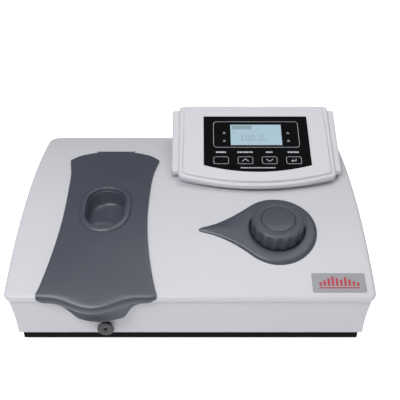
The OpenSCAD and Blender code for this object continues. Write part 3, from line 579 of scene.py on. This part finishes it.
def pod_tier(w, front, bulge, drop, rear_drop, r_edge=2.6, r_corner=3.5):
    """One tier: bulging front, rounded shoulders, a thin lip, and a foot drawn back under it."""
    low, high = front + bulge, 150.0 - 0.05 * drop
    outline, normals, counts = rounded_outline(0, (low + high) / 2, w, high - low, r_corner, 40, 44, 5)
    y = outline[:, 1]
    side = np.abs(normals[:, 0]) > 0.99
    first, last = low + r_corner, high - r_corner
    spread = np.interp((y - first) / (last - first), (0, 0.45, 0.75, 1), (first, 112, 126, last))
    outline[:, 1] = np.where(side, spread, y)
    radius = (w * w / 4 + bulge * bulge) / (2 * bulge)
    height = pod_height(drop, rear_drop)

    def bowed(plan):
        plan = plan.copy()
        sag = np.sqrt(np.maximum(radius ** 2 - plan[:, 0] ** 2, 0)) - (radius - bulge)
        weight = np.clip((70 - plan[:, 1]) / (70 - low), 0, 1)
        plan[:, 1] -= sag * weight
        return plan

    frontward = np.clip(-normals[:, 1], 0, 1)
    rearward = np.clip(normals[:, 1], 0, 1)
    start = np.pi / 2 - frontward * SLOPE
    rings = []
    inset0 = r_edge - r_edge * np.cos(start)
    first = bowed(outline - normals * inset0[:, None])
    base = height(first[:, 0], first[:, 1]) + r_edge - r_edge * np.sin(start)
    for k in range(8):
        angle = start * (1 - k / 7)
        inset = (r_edge - r_edge * np.cos(angle))
        plan = bowed(outline - normals * inset[:, None])
        z = base - (r_edge - r_edge * np.sin(angle)) * (1 - rearward)
        rings.append(np.column_stack([plan, z]))
    lip = np.column_stack([bowed(outline), rings[-1][:, 2] - 0.3 - 2.6 * frontward])
    rings.append(lip)
    for inset, depth in ((0, 1.0), (0.6, 1.6)):
        foot = bowed(outline - normals * inset)
        foot[:, 1] += 9 * np.clip((low + 30 - foot[:, 1]) / 30, 0, 1)
        floor = arch(foot[:, 1]) - depth - 0.03 * drop
        rings.append(np.column_stack([foot, np.minimum(rings[-1][:, 2] - 0.3, floor)]))
    shape = loft(rings, counts, caps=(height, lambda x, y: arch(y) - 1.9 - 0.03 * drop))
    return placed(shape[0], Matrix.Translation((POD_X - 1.2, 0, 0))), shape[1]


def panel_loop(grow=0.0):
    """Black panel's outline on the face: straight sides, bottom edge bulging downwards."""
    half, bulge, low, high = 68.2 + grow, 10.3, 33.2, 112.5 + grow
    radius = (half * half + bulge * bulge) / (2 * bulge)
    loop = [(x, low - bulge - grow + radius - math.sqrt(radius * radius - x * x))
            for x in np.linspace(-half, half, 33)]
    return loop + [(half, high), (-half, high)]


def key_u(i):
    return (i - 1.5) * KEY_PITCH


def build_pod():
    pod = raw_mesh("pod_moulding", *pod_tier(188.6, 8.2, 13, 0, 0))
    combine(pod, *pod_tier(198.6, 4.2, 15.5, 3, 0.9), operation="UNION")
    combine(pod, *pod_tier(216.8, 27.5, 4, 9.5, 6.5), operation="UNION")
    recess = [prism(panel_loop(0.2), -0.85, 6)]
    combine(pod, placed(recess[0][0], FACE_FRAME), recess[0][1])
    wells = [prism(rounded_outline(key_u(i), KEY_V, KEY_W + 1.3, KEY_H + 1.3, 1, 1, 1, 2)[0], -5.5, 3)
             for i in range(4)]
    wells.append(prism(rounded_outline(0, WINDOW_V, 72, 39, 1, 1, 1, 2)[0], -5.5, 3))
    v, f = joined(wells)
    combine(pod, placed(v, FACE_FRAME), f)
    return dress(pod, "case", FINISH["white_shell"], ("display_pod",), 30)


build_pod()


# ---- prints on the panel, the keys and the badge ----------------------------------------

def band(loop, width, z, closed=True, thick=0.05):
    """Flat printed line of a given width along a path, in the plane of a face."""
    loop = np.asarray(loop, float)
    n = len(loop)
    if closed:
        ahead, behind = np.roll(loop, -1, 0), np.roll(loop, 1, 0)
    else:
        ahead = np.vstack([loop[1:], 2 * loop[-1] - loop[-2]])
        behind = np.vstack([2 * loop[0] - loop[1], loop[:-1]])
    a = loop - behind
    b = ahead - loop
    a /= np.linalg.norm(a, axis=1)[:, None]
    b /= np.linalg.norm(b, axis=1)[:, None]
    na, nb = np.column_stack([a[:, 1], -a[:, 0]]), np.column_stack([b[:, 1], -b[:, 0]])
    miter = na + nb
    miter /= (1 + (na * nb).sum(1))[:, None]
    out, inn = loop + miter * width / 2, loop - miter * width / 2
    verts = np.vstack([np.column_stack([p, np.full(n, h)]) for p in (out, inn) for h in (z, z + thick)])
    faces = []
    for i in range(n if closed else n - 1):
        j = (i + 1) % n
        ol, oh, il, ih = (i, n + i, 2 * n + i, 3 * n + i)
        pl, ph, ql, qh = (j, n + j, 2 * n + j, 3 * n + j)
        faces += [(oh, ph, qh, ih), (ol, il, ql, pl), (ol, pl, ph, oh), (il, ih, qh, ql)]
    if not closed:
        e = n - 1
        faces += [(0, n, 3 * n, 2 * n), (e, 2 * n + e, 3 * n + e, n + e)]
    return verts, faces


def pad(u, v, w, h, z, thick=0.05):
    return prism([(u - w / 2, v - h / 2), (u + w / 2, v - h / 2), (u + w / 2, v + h / 2), (u - w / 2, v + h / 2)],
                 z, z + thick)


def dashes(u, v, widths, h, gap, z):
    """Row of short printed bars centred at a place, in place of a caption."""
    total = sum(widths) + gap * (len(widths) - 1)
    x = u - total / 2
    bars = []
    for w in widths:
        bars.append(pad(x + w / 2, v, w, h, z))
        x += w + gap
    return bars


def outline_loop(u, v, w, h, r):
    return rounded_outline(u, v, w, h, r, 2, 2, 4)[0]


def print_panel():
    z = 0.4
    marks = [band(outline_loop(0, 82.2, 110.8, 42.3, 4.5), 0.42, z)]
    captions = ((2.9, 2.4, 2.9, 2.2), (1.9, 2.4, 1.6, 2.3, 2.4, 1.8, 2.4), (2.3, 2.6, 1.9), (2.3, 2.6, 1.5, 2.6, 1.9))
    for i, widths in enumerate(captions):
        marks += dashes(key_u(i), 53.2, widths, 2.2, 0.8, z)
    marks += dashes(0, 28.7, (2.6, 2.8, 2.2, 2.8, 2.5, 1.9, 2.8, 2.5, 2.2, 2.8, 2.5, 2.8, 2.2), 1.5, 0.9, z)
    for u in (-41.5, 41.5):
        for v in (84.7, 71.7):
            marks.append(band([(u - 1.5, v - 1.3), (u + 1.5, v - 1.3), (u, v + 1.5)], 0.4, z))
    v, f = joined(marks)
    piece("panel_print", (placed(v, FACE_FRAME), f), "case", PANEL_PRINT)


def print_keys():
    z = 0.4
    symbols = {
        "mode": [],
        "up": [band([(-4.2, -1.6), (0, 2.1), (4.2, -1.6)], 0.75, z, closed=False)],
        "down": [band([(-4.2, 1.8), (0, -1.9), (4.2, 1.8)], 0.75, z, closed=False)],
        "enter": [band([(2.6, 2.0), (2.6, -0.8), (-2.8, -0.8)], 0.8, z, closed=False),
                  band([(-1.2, 0.9), (-2.9, -0.8), (-1.2, -2.5)], 0.8, z, closed=False)],
    }
    for i, (key, marks) in enumerate(symbols.items()):
        marks = marks + [band(outline_loop(0, 0, 18.6, 11.0, 2.2), 0.42, z)]
        v, f = joined(marks)
        v = v + np.array([key_u(i), KEY_V, 0])
        piece(f"{key}_key_print", (placed(v, FACE_FRAME), f), f"{key}_key", PANEL_PRINT)


def print_display():
    """Reading shown on the display: a header box, a marker and the figures 100.0."""
    z = 0.2
    left, top = -33.25, WINDOW_V + 17
    marks = [pad(left + 15, top - 4.6, 26, 6.4, z), pad(left + 4.6, top - 13.2, 2.6, 1.4, z)]
    low, tall = top - 27.4, 10.0
    mid = low + tall / 2

    def zero(u):
        return band(outline_loop(u, mid, 4.0, tall - 1, 1.9), 0.95, z)

    x = left + 15.6
    marks += [band([(x - 1.6, low + tall - 2.6), (x, low + tall - 0.6), (x, low + 0.5)], 0.95, z, closed=False),
              pad(x, low + 0.4, 3.6, 0.9, z)]
    marks += [zero(x + 6.6), zero(x + 13.2), pad(x + 18.6, low + 0.8, 1.4, 1.4, z), zero(x + 24.4)]
    unit = x + 30.6
    marks += [band([(unit - 1.5, low + 0.2), (unit + 1.5, low + 4.4)], 0.6, z, closed=False),
              pad(unit - 1.3, low + 3.7, 1.1, 1.1, z), pad(unit + 1.3, low + 0.9, 1.1, 1.1, z)]
    v, f = joined(marks)
    piece("display_figures", (placed(v, FACE_FRAME), f), "case", LCD_DARK)


def print_badge():
    """Spectrum-like row of red bars on the silver plate."""
    slope = math.asin((ARCH_Y + 124) / ARCH_R)
    origin = Matrix.Translation((164.5, -124, ARCH_Z + ARCH_R * math.cos(slope))) @ Matrix.Rotation(slope, 4, "X")
    heights = (4.5, 6.5, 9, 11.5, 9.5, 7.5, 10.5, 8, 5.5, 4)
    bars = [pad(-20.5 + 4.6 * i, -4 + h / 2, 2.7, h, 0.8, 0.12) for i, h in enumerate(heights)]
    bars.append(pad(0.2, -6.4, 44.1, 1.3, 0.8, 0.12))
    v, f = joined(bars)
    piece("badge_motif", (placed(v, origin), f), "case", MOTIF_RED)


print_panel()
print_keys()
print_display()
print_badge()


# ---- sample lid -------------------------------------------------------------------------

def lid_half(y):
    """Half width of the waisted lid at a place from front to back."""
    y = np.asarray(y, float)
    front = 50.3 + 415 - np.sqrt(415 ** 2 - (y + 28) ** 2)
    back = 50.3 + 860 - np.sqrt(860 ** 2 - (y + 28) ** 2)
    return np.where(y < -28, np.minimum(front, 65.6), back)


def smooth(t):
    t = np.clip(t, 0, 1)
    return t * t * (3 - 2 * t)


def bell(x):
    return np.where(np.abs(x + 106) < 50, (1 + np.cos(np.pi * (x + 106) / 50)) / 2, 0.0)


# Height of the lid's lower edge across its front: rounded ends, a flare, and the chin
LOWER_EDGE = ((-168.6, 76.6), (-167, 75.0), (-164, 73.2), (-160, 72.0), (-155, 71.4), (-150, 70.6), (-146, 69.4),
              (-142, 67.5), (-138, 65.0), (-134, 61.9), (-130, 58.2), (-127, 54.6), (-124.5, 51.2), (-118, 50.0),
              (-110, 49.0), (-98, 48.5), (-86, 49.0), (-78, 50.0), (-71.8, 51.2), (-70, 55.0), (-68, 59.4),
              (-66, 62.6), (-63, 65.9), (-60, 68.2), (-56, 69.8), (-50, 70.9), (-46, 71.6), (-42, 73.0), (-39, 75.0),
              (-37.4, 76.6))


def lower_edge(x):
    xs, zs = zip(*LOWER_EDGE)
    return np.interp(x, xs, zs)


# Side views of the lid's front, from the arch down. Outer face: the plain end (y, z), then the
# tip of the bill (y, z). Below the bill the rows run from its lip to the lower edge.
BILL = (
    (-138.4, 82.3, -138.4, 82.3), (-140.6, 81.3, -143.4, 80.1), (-142.3, 80.1, -148.2, 78.0),
    (-143.5, 78.7, -152.0, 76.2), (-144.3, 77.2, -154.3, 74.6), (-144.7, 75.8, -155.4, 72.8),
    (-144.9, 74.6, -155.8, 70.9), (-144.8, 73.4, -155.6, 68.6), (-144.5, 72.6, -155.1, 66.8),
    (-144.1, 72.1, -154.2, 65.6),
)
HOLLOW = ((0.10, -6.2), (0.25, -4.0), (0.42, -2.8), (0.6, -3.0), (0.78, -3.9), (0.9, -4.8), (0.97, -5.3), (1.0, -4.9))


def lid_stations():
    """Places along the lid, from its rear edge over the arch to the front of the arch."""
    rear = [95, 94.6, 93.9, 92.9, 90, 86]
    return rear + list(np.linspace(82, -134, 50))


def build_lid():
    roll = 1.7
    edge = [0.0, 0.35, 0.95, roll]
    inner_columns = np.linspace(-1, 1, 41)
    tops, lows = [], []
    stations = lid_stations()

    def columns(half):
        left = [-half + d for d in edge[:-1]]
        middle = list(inner_columns * (half - roll))
        right = [half - d for d in edge[:-1]][::-1]
        offsets = np.array(left + middle + right)
        return offsets, half - np.abs(offsets)

    def rolled(top, low, depth):
        d = np.clip(depth / roll, 0, 1)
        drop = roll * (1 - np.sqrt(1 - (1 - d) ** 2))
        gap = np.linalg.norm(low - top, axis=1)
        share = np.minimum(drop / gap, 0.8)
        return top + (low - top) * share[:, None]

    for y_line in stations:
        half = float(lid_half(y_line))
        offset, depth = columns(half)
        x = LID_MID + offset
        rear_edge = -3 + np.sqrt(98 ** 2 - np.clip(offset, -97, 97) ** 2)
        rear_edge -= 3.2 * np.clip((np.abs(offset) - 46) / 10, 0, 1) ** 2
        pull = smooth((y_line - 20) / 75)
        y = y_line - (95 - rear_edge) * pull
        rear_depth = np.full(len(x), 95.0 - y_line)
        top = np.column_stack([x, y, arch(y, LID_TOP_R)])
        low = np.column_stack([x, y, arch(y, ARCH_R + LID_GAP)])
        tops.append(rolled(top, low, np.minimum(depth, rear_depth)))
        lows.append(low)
    offset, depth = columns(65.7)
    x = LID_MID + offset
    w, low_z = bell(x), lower_edge(x)
    lip_y = lip_z = None
    for plain_y, plain_z, tip_y, tip_z in BILL:
        y, z = plain_y + (tip_y - plain_y) * w, plain_z + (tip_z - plain_z) * w
        end = np.clip((76.6 - low_z) / 4.5, 0.0, 1)
        z = np.where(z < 78.0, 78.0 - (78.0 - z) * (0.12 + 0.88 * end), z)
        y = -141.9 + (y + 141.9) * np.where(y < -141.9, 0.35 + 0.65 * end, 1)
        z = np.maximum(z, low_z + 0.02 * (z - 60))
        tops.append(np.column_stack([x, y, z]))
        lip_y, lip_z = y, z
        inner_z = np.maximum(np.clip(z - 3.2, 71.0, 78.3), low_z + 0.6)
        inner_y = -137 - np.sqrt(np.maximum(4.4 ** 2 - np.clip(inner_z - 74.3, 0, 4.39) ** 2, 0.0))
        lows.append(np.column_stack([x, np.maximum(inner_y, -141.4), inner_z]))
    for share, reach in HOLLOW:
        z = lip_z + (low_z - lip_z) * share
        front = np.clip(1 - ((x + 98) / 28) ** 2, 0, 1)
        chin_y = -142.6 + (reach + 0.8 - 2.6 * share * front) * smooth((70.5 - low_z) / 12) * (0.25 + 0.75 * w)
        drop = smooth((lip_z - low_z) / 4)
        y = np.where(drop > 0, lip_y + (chin_y - lip_y) * (smooth(share * 4.0) * drop + (1 - drop) * share * 0.9), lip_y)
        tops.append(np.column_stack([x, y, z]))
        inner_z = np.maximum(np.minimum(z + 0.4, 71.0 - 0.1 * share), low_z + 0.5 - 0.5 * share)
        lows.append(np.column_stack([x, np.full(len(x), -141.4), inner_z]))
    rows, cols = len(tops), len(tops[0])
    verts = np.vstack(tops + lows)
    size = rows * cols
    faces = []
    for r in range(rows - 1):
        for c in range(cols - 1):
            a = r * cols + c
            quad = (a, a + cols, a + cols + 1, a + 1)
            faces.append(quad)
            faces.append(tuple(size + i for i in quad[::-1]))
        for c, flip in ((0, False), (cols - 1, True)):
            a, b = r * cols + c, (r + 1) * cols + c
            quad = (a, size + a, size + b, b)
            faces.append(quad[::-1] if flip else quad)
    for r, flip in ((0, True), (rows - 1, False)):
        for c in range(cols - 1):
            a, b = r * cols + c, r * cols + c + 1
            quad = (a, size + a, size + b, b)
            faces.append(quad[::-1] if flip else quad)
    lid = raw_mesh("lid_moulding", verts, faces)
    softened = lid.modifiers.new("softened", "SUBSURF")
    softened.levels = 1
    baked(lid)
    hole = rounded_outline(LID_X, CUP_Y, 51.4, 66.9, 24, 4, 4, 10)[0]
    combine(lid, *prism(hole, 85, 135))
    barrel = [(1.9 * math.cos(a), 1.9 * math.sin(a)) for a in np.linspace(0, 2 * math.pi, 33)[:-1]]
    bore = [(0.85 * math.cos(a), 0.85 * math.sin(a)) for a in np.linspace(0, 2 * math.pi, 25)[:-1]]
    along = Matrix.Translation((LID_X, HINGE_Y, HINGE_Z)) @ Matrix.Rotation(math.pi / 2, 4, "Y")
    v, f = prism(barrel, -20, 20)
    combine(lid, placed(v, along), f, operation="UNION")
    cuts = [slab_box(LID_X + s * 23 - 3, LID_X + s * 23 + 3, HINGE_Y - 2.3, HINGE_Y + 6, 116, 130) for s in (-1, 1)]
    combine(lid, *joined(cuts))
    v, f = prism(bore, -40, 40)
    combine(lid, placed(v, along), f)
    return dress(lid, "lid", FINISH["grey_plastic"], ("sample_lid",), 40)


build_lid()


def build_cup():
    """Oval collar round a finger pocket with a flat floor."""
    def oval(w, d, r, z=None, rise=None, cy=CUP_Y):
        outline, _, counts = rounded_outline(LID_X, cy, w, d, min(r, w / 2 - 0.5, d / 2 - 0.5), 6, 10, 12)
        height = np.full(len(outline), z) if z is not None else arch(outline[:, 1], LID_TOP_R + rise)
        return np.column_stack([outline, height]), counts

    ring_plan = [
        (22, 36, 10, 99.6, None, CUP_Y), (34, 49, 15, 100.1, None, CUP_Y),
        (40, 55.5, 18, 101.3, None, CUP_Y), (43.4, 59, 20, 103.6, None, CUP_Y),
        (44.4, 60, 20.6, None, -2.4, CUP_Y), (44.9, 60.4, 20.8, None, -1.9, CUP_Y),
        (45.6, 61, 21.2, None, -2.1, CUP_Y), (46.2, 61.6, 21.5, None, -1.9, CUP_Y),
        (46.5, 62, 21.8, None, 0.0, CUP_Y), (46.8, 62.4, 22, None, 1.4, CUP_Y),
        (47.5, 63.1, 22.4, None, 2.2, CUP_Y), (48.8, 64.4, 23, None, 2.7, CUP_Y),
        (51.4, 67, 24.4, None, 2.85, CUP_Y), (55, 70.4, 26.2, None, 2.75, CUP_Y),
        (58.4, 73.8, 27.9, None, 2.3, CUP_Y), (60.8, 76.1, 29.2, None, 1.5, CUP_Y),
        (62.0, 77.2, 29.9, None, 0.5, CUP_Y), (62.3, 77.5, 30, None, -0.3, CUP_Y),
        (51.2, 66.7, 24, None, -0.35, CUP_Y), (51.0, 66.5, 24, 99.5, None, CUP_Y),
        (50.0, 65.5, 23.5, 98.0, None, CUP_Y),
    ]
    rings, counts = [], None
    for w, d, r, z, rise, cy in ring_plan:
        loop, counts = oval(w, d, r, z, rise, cy)
        rings.append(loop)
    cup = raw_mesh("lid_pocket", *loft(rings, counts))
    return dress(cup, "lid", FINISH["grey_plastic"], ("lid_pull_cup",), 50)


def build_grip():
    """Crescent grip in the finger pocket: a ridge with a shallow hollow in front of it."""
    front = CUP_Y - 31.0
    u = np.linspace(-1, 1, 29)
    fore = np.column_stack([LID_X - 1.5 + 15.6 * u, front + 6.5 * np.abs(u) ** 2.4])
    rear = np.column_stack([LID_X - 1.5 + 15.6 * u, front + 13.5 + 9.0 * (1 - u ** 2)])
    tops = ((0.0, 103.2), (0.25, 102.9), (0.5, 103.6), (0.62, 104.6), (0.72, 105.5), (0.84, 105.9), (0.94, 105.6), (1.0, 104.6))
    rows = [np.column_stack([fore * (1 - t) + rear * t, np.full(len(u), z)]) for t, z in tops]
    for row in rows:
        row[:, 2] -= 1.4 * np.abs(u) ** 6
    top = np.array(rows)
    low = top.copy()
    low[..., 2] = 100.0
    steps, across = top.shape[:2]
    verts = np.vstack([top.reshape(-1, 3), low.reshape(-1, 3)])
    size = steps * across
    faces = []
    for r in range(steps - 1):
        for c in range(across - 1):
            a = r * across + c
            quad = (a, a + 1, a + across + 1, a + across)
            faces += [quad, tuple(size + i for i in quad[::-1])]
        for c, flip in ((0, False), (across - 1, True)):
            a, b = r * across + c, (r + 1) * across + c
            quad = (a, b, size + b, size + a)
            faces.append(quad[::-1] if flip else quad)
    for r, flip in ((0, False), (steps - 1, True)):
        for c in range(across - 1):
            a, b = r * across + c, r * across + c + 1
            quad = (a, size + a, size + b, b)
            faces.append(quad[::-1] if flip else quad)
    grip = raw_mesh("pocket_grip", verts, faces)
    return dress(grip, "lid", FINISH["grey_plastic"], (), 50)


build_cup()
build_grip()


# ---- wavelength knob and its bezel ------------------------------------------------------

def build_bezel():
    """Teardrop bezel: broad rim round the knob, running out to a thin tail on the left."""
    n = 180
    tail = lambda t: 3 + 28.5 * t ** 1.6
    path = []
    for t in np.linspace(0.0, 1, 60):
        path.append((-92 + 57 * t, tail(t)))
    upper = [p for p in path if p[0] ** 2 + p[1] ** 2 > 46.8 ** 2]
    last = upper[-1]
    a0 = math.atan2(last[1], last[0])
    arc = [(47 * math.cos(a), 47 * math.sin(a)) for a in np.linspace(a0 - 0.02, -a0 + 0.02, 120)]
    lower = [(x, -y) for x, y in upper[::-1]]
    tip = [(-92 + 3 * (1 - math.cos(a)) - 3, 3 * math.sin(a)) for a in np.linspace(-math.pi / 2, math.pi / 2, 9)[1:-1]]
    loop = np.array(upper + arc + lower + tip)[::-1]
    step = np.linalg.norm(np.roll(loop, -1, 0) - loop, axis=1)
    along = np.concatenate([[0], np.cumsum(step)])
    closed = np.vstack([loop, loop[:1]])
    even = np.linspace(0, along[-1], n + 1)[:-1]
    loop = np.column_stack([np.interp(even, along, closed[:, k]) for k in (0, 1)])
    for _ in range(14):
        loop = loop * 0.5 + (np.roll(loop, 1, 0) + np.roll(loop, -1, 0)) * 0.25
    if np.sum(loop[:, 0] * np.roll(loop[:, 1], -1) - np.roll(loop[:, 0], -1) * loop[:, 1]) < 0:
        loop = loop[::-1]
    edge = np.roll(loop, -1, 0) - np.roll(loop, 1, 0)
    edge /= np.linalg.norm(edge, axis=1)[:, None]
    normals = np.column_stack([edge[:, 1], -edge[:, 0]])
    world = loop + np.array([KNOB_X, KNOB_Y])

    def crown(x):
        """Height of the bezel over the case, from the rim to the tip of the tail."""
        return 2.3 + 1.7 * smooth((x - KNOB_X + 88) / 55)

    def on_case(plan, share):
        h = crown(plan[:, 0]) * share
        return np.column_stack([plan, arch(plan[:, 1]) + h])

    rings = []
    for inset, share in ((5.2, 1.0), (3.6, 0.975), (2.3, 0.89), (1.2, 0.74), (0.45, 0.52), (0.05, 0.25), (0.0, -0.1)):
        reach = np.minimum(inset, 0.62 * (3 + 28.5 * np.clip((loop[:, 0] + 92) / 57, 0, 1) ** 1.6))
        rings.append(on_case(world - normals * reach[:, None], share))
    rim = rings[0]
    angle = np.unwrap(np.arctan2(rim[:, 1] - KNOB_Y, rim[:, 0] - KNOB_X))
    even = np.linspace(angle[0], angle[0] + 2 * math.pi, n + 1)[:-1]
    angle = np.interp(np.arange(n), np.arange(n), 0.15 * angle + 0.85 * even)

    def circle(r, z):
        local = np.column_stack([r * np.cos(angle), r * np.sin(angle), np.full(n, z)])
        return placed(local, KNOB_FRAME)

    start = circle(34.6, 0)
    start[:, 2] = arch(start[:, 1]) + 4.0
    inner = []
    for t in (0.25, 0.5, 0.75):
        mid = start * (1 - t) + rim * t
        mid[:, 2] = arch(mid[:, 1]) + crown(mid[:, 0]) * t + (1 - t) * 4.0
        inner.append(mid)
    well = []
    for r, h in ((32.6, 2.9), (32.75, 3.45), (33.2, 3.8)):
        lip = circle(r, 0)
        lip[:, 2] = arch(lip[:, 1]) + h
        well.append(lip)
    order = [circle(7.05, -5), circle(7.05, -3), circle(32.2, -3), circle(32.6, -2.6)] + well + [start] + inner + rings
    foot = circle(34.5, 0)
    foot[:, 2] = arch(foot[:, 1]) - 0.2
    order += [foot, circle(34.5, -4.6), circle(34.1, -5)]
    bezel = raw_mesh("bezel_moulding", *loft(order, cyclic=True))
    return dress(bezel, "case", FINISH["grey_plastic"], ("knob_bezel",), 45)


def flute(angles, r, z):
    """Radius of the fluted knob: sixteen hollows that run out under the top edge."""
    pitch = 2 * math.pi / 16
    local = (angles + pitch / 2) % pitch - pitch / 2
    across = np.abs(local) * 31
    depth = np.sqrt(np.maximum(36 - across ** 2, 0)) - 4.6
    depth = 1.35 * smooth(np.clip(depth / 1.4, 0, 1.0))
    run_out = float(smooth((18.6 - z) / 2.2)) if r > 27 else 0.0
    return r - depth * run_out


def build_knob():
    profile = [(19.9, 17.7), (19.9, 19.25), (20.25, 19.55), (21.2, 19.6), (27.4, 19.6), (28.5, 19.45),
               (29.3, 19.1), (30.0, 18.55), (30.5, 17.8), (30.8, 16.8), (31.0, 15.4), (31.0, 12), (31.0, 8),
               (31.0, 4), (31.0, 1), (31.0, -0.9), (30.6, -1.4), (26, -1.5), (26, 3), (9, 3), (9, -1.4), (8.6, -1.5)]
    v, f = turned(profile, 320, flute)
    knob = piece("knob_moulding", (placed(v, KNOB_FRAME), f), "knob", FINISH["knob_plastic"],
                 ("wavelength_knob",), 50)
    disc = [(6, 19.5), (18.9, 19.5), (19.35, 19.38), (19.6, 19.1), (19.6, 17.9), (19.3, 17.65), (8, 17.65)]
    v, f = turned(disc, 128)
    cap = piece("knob_disc", (placed(v, KNOB_FRAME), f), "knob", FINISH["knob_plastic"],
                ("knob_cap",), 50)
    return knob, cap


def build_rod_knob():
    """Flared disc on the end of the pull rod, with a small hole in its face."""
    profile = [(1.2, 3.1), (1.9, 3.2), (2.05, 5.4), (2.5, 5.75), (5.5, 5.85), (8.6, 5.9), (9.25, 5.75),
               (9.55, 5.3), (9.6, 4.8), (9.3, 4.3), (7.4, 2.6), (5.6, 0.9), (5.0, 0.2),
               (4.6, 0.0), (3.0, 0.0)]
    v, f = turned(profile, 72)
    out = Matrix.Translation((ROD_X, -135.6, ROD_Z)) @ Matrix.Rotation(math.pi / 2, 4, "X")
    return piece("rod_handle", (placed(v, out), f), "carriage", FINISH["rod_knob_plastic"],
                 ("rod_knob",), 50)


build_bezel()
build_knob()
build_rod_knob()


# ---- floor, light and camera ------------------------------------------------------------

def floor_finish():
    """White sweep: plain white to the camera and in reflections, a soft bounce for the rest."""
    material = finish("pale_floor", (0.9, 0.9, 0.9, 1), 0.8, grain=300, bump=0.0, spread=0.0,
                      worn=(0.9, 0.9, 0.9, 1), dust=0.0, specular=0.0)
    tree = material.node_tree
    shader = tree.nodes["Principled BSDF"]
    shader.inputs["Emission Color"].default_value = (1, 1, 1, 1)
    rays = node(tree, "ShaderNodeLightPath")
    seen = maths(tree, "MAXIMUM", rays.outputs["Is Camera Ray"], rays.outputs["Is Glossy Ray"])
    glow = maths(tree, "MULTIPLY", seen, 0.75)
    tree.links.new(maths(tree, "ADD", glow, 0.06), shader.inputs["Emission Strength"])
    return material


floor = raw_mesh("floor", [(-6000, -4000, 0), (6000, -4000, 0), (6000, 9000, 0), (-6000, 9000, 0)], [(0, 1, 2, 3)])
floor.data.materials.append(floor_finish())


def soft_light(name, place, aim, size, power, colour=(1, 1, 1)):
    data = bpy.data.lights.new(name, "AREA")
    data.shape = "RECTANGLE"
    data.size, data.size_y = size
    data.energy = power
    data.color = colour
    lamp = bpy.data.objects.new(name, data)
    lamp.location = place
    lamp.rotation_euler = (Vector(aim) - Vector(place)).to_track_quat("-Z", "Y").to_euler()
    bpy.context.scene.collection.objects.link(lamp)
    return lamp


soft_light("key_light", (-0.45, -0.75, 1.35), (0, 0.02, 0.08), (0.7, 0.35), 13)
soft_light("top_light", (0.35, 0.1, 1.9), (0, 0, 0.1), (1.2, 1.0), 10)


def studio_world():
    """Pale room: brighter overhead and in front, dim behind the bench, white where it is seen."""
    world = bpy.data.worlds.new("studio")
    world.use_nodes = True
    tree = world.node_tree
    back = tree.nodes["Background"]
    way = node(tree, "ShaderNodeTexCoord").outputs["Generated"]
    split = node(tree, "ShaderNodeSeparateXYZ")
    tree.links.new(way, split.inputs[0])
    depth = node(tree, "ShaderNodeMapRange")
    for key, value in (("From Min", -0.2), ("From Max", 0.8), ("To Min", 0.46), ("To Max", 0.16)):
        depth.inputs[key].default_value = value
    tree.links.new(split.outputs["Y"], depth.inputs["Value"])
    rays = node(tree, "ShaderNodeLightPath")
    level = maths(tree, "MAXIMUM", depth.outputs[0], rays.outputs["Is Camera Ray"])
    tree.links.new(level, back.inputs["Strength"])
    back.inputs["Color"].default_value = (0.97, 0.98, 1.0, 1)
    return world


bpy.context.scene.world = studio_world()
bpy.context.scene.view_settings.view_transform = "Standard"

camera_data = bpy.data.cameras.new("camera")
camera_data.lens = 54.45
camera_data.sensor_width = 36.0
camera_data.clip_start = 0.01
camera = bpy.data.objects.new("camera", camera_data)
camera.location = (0.011, -0.6232, 0.5382)
camera.rotation_euler = (math.radians(55.5), 0, 0)
bpy.context.scene.collection.objects.link(camera)
bpy.context.scene.camera = camera

# ---- scene brought up to date -----------------------------------------------------------

bpy.context.view_layer.update()
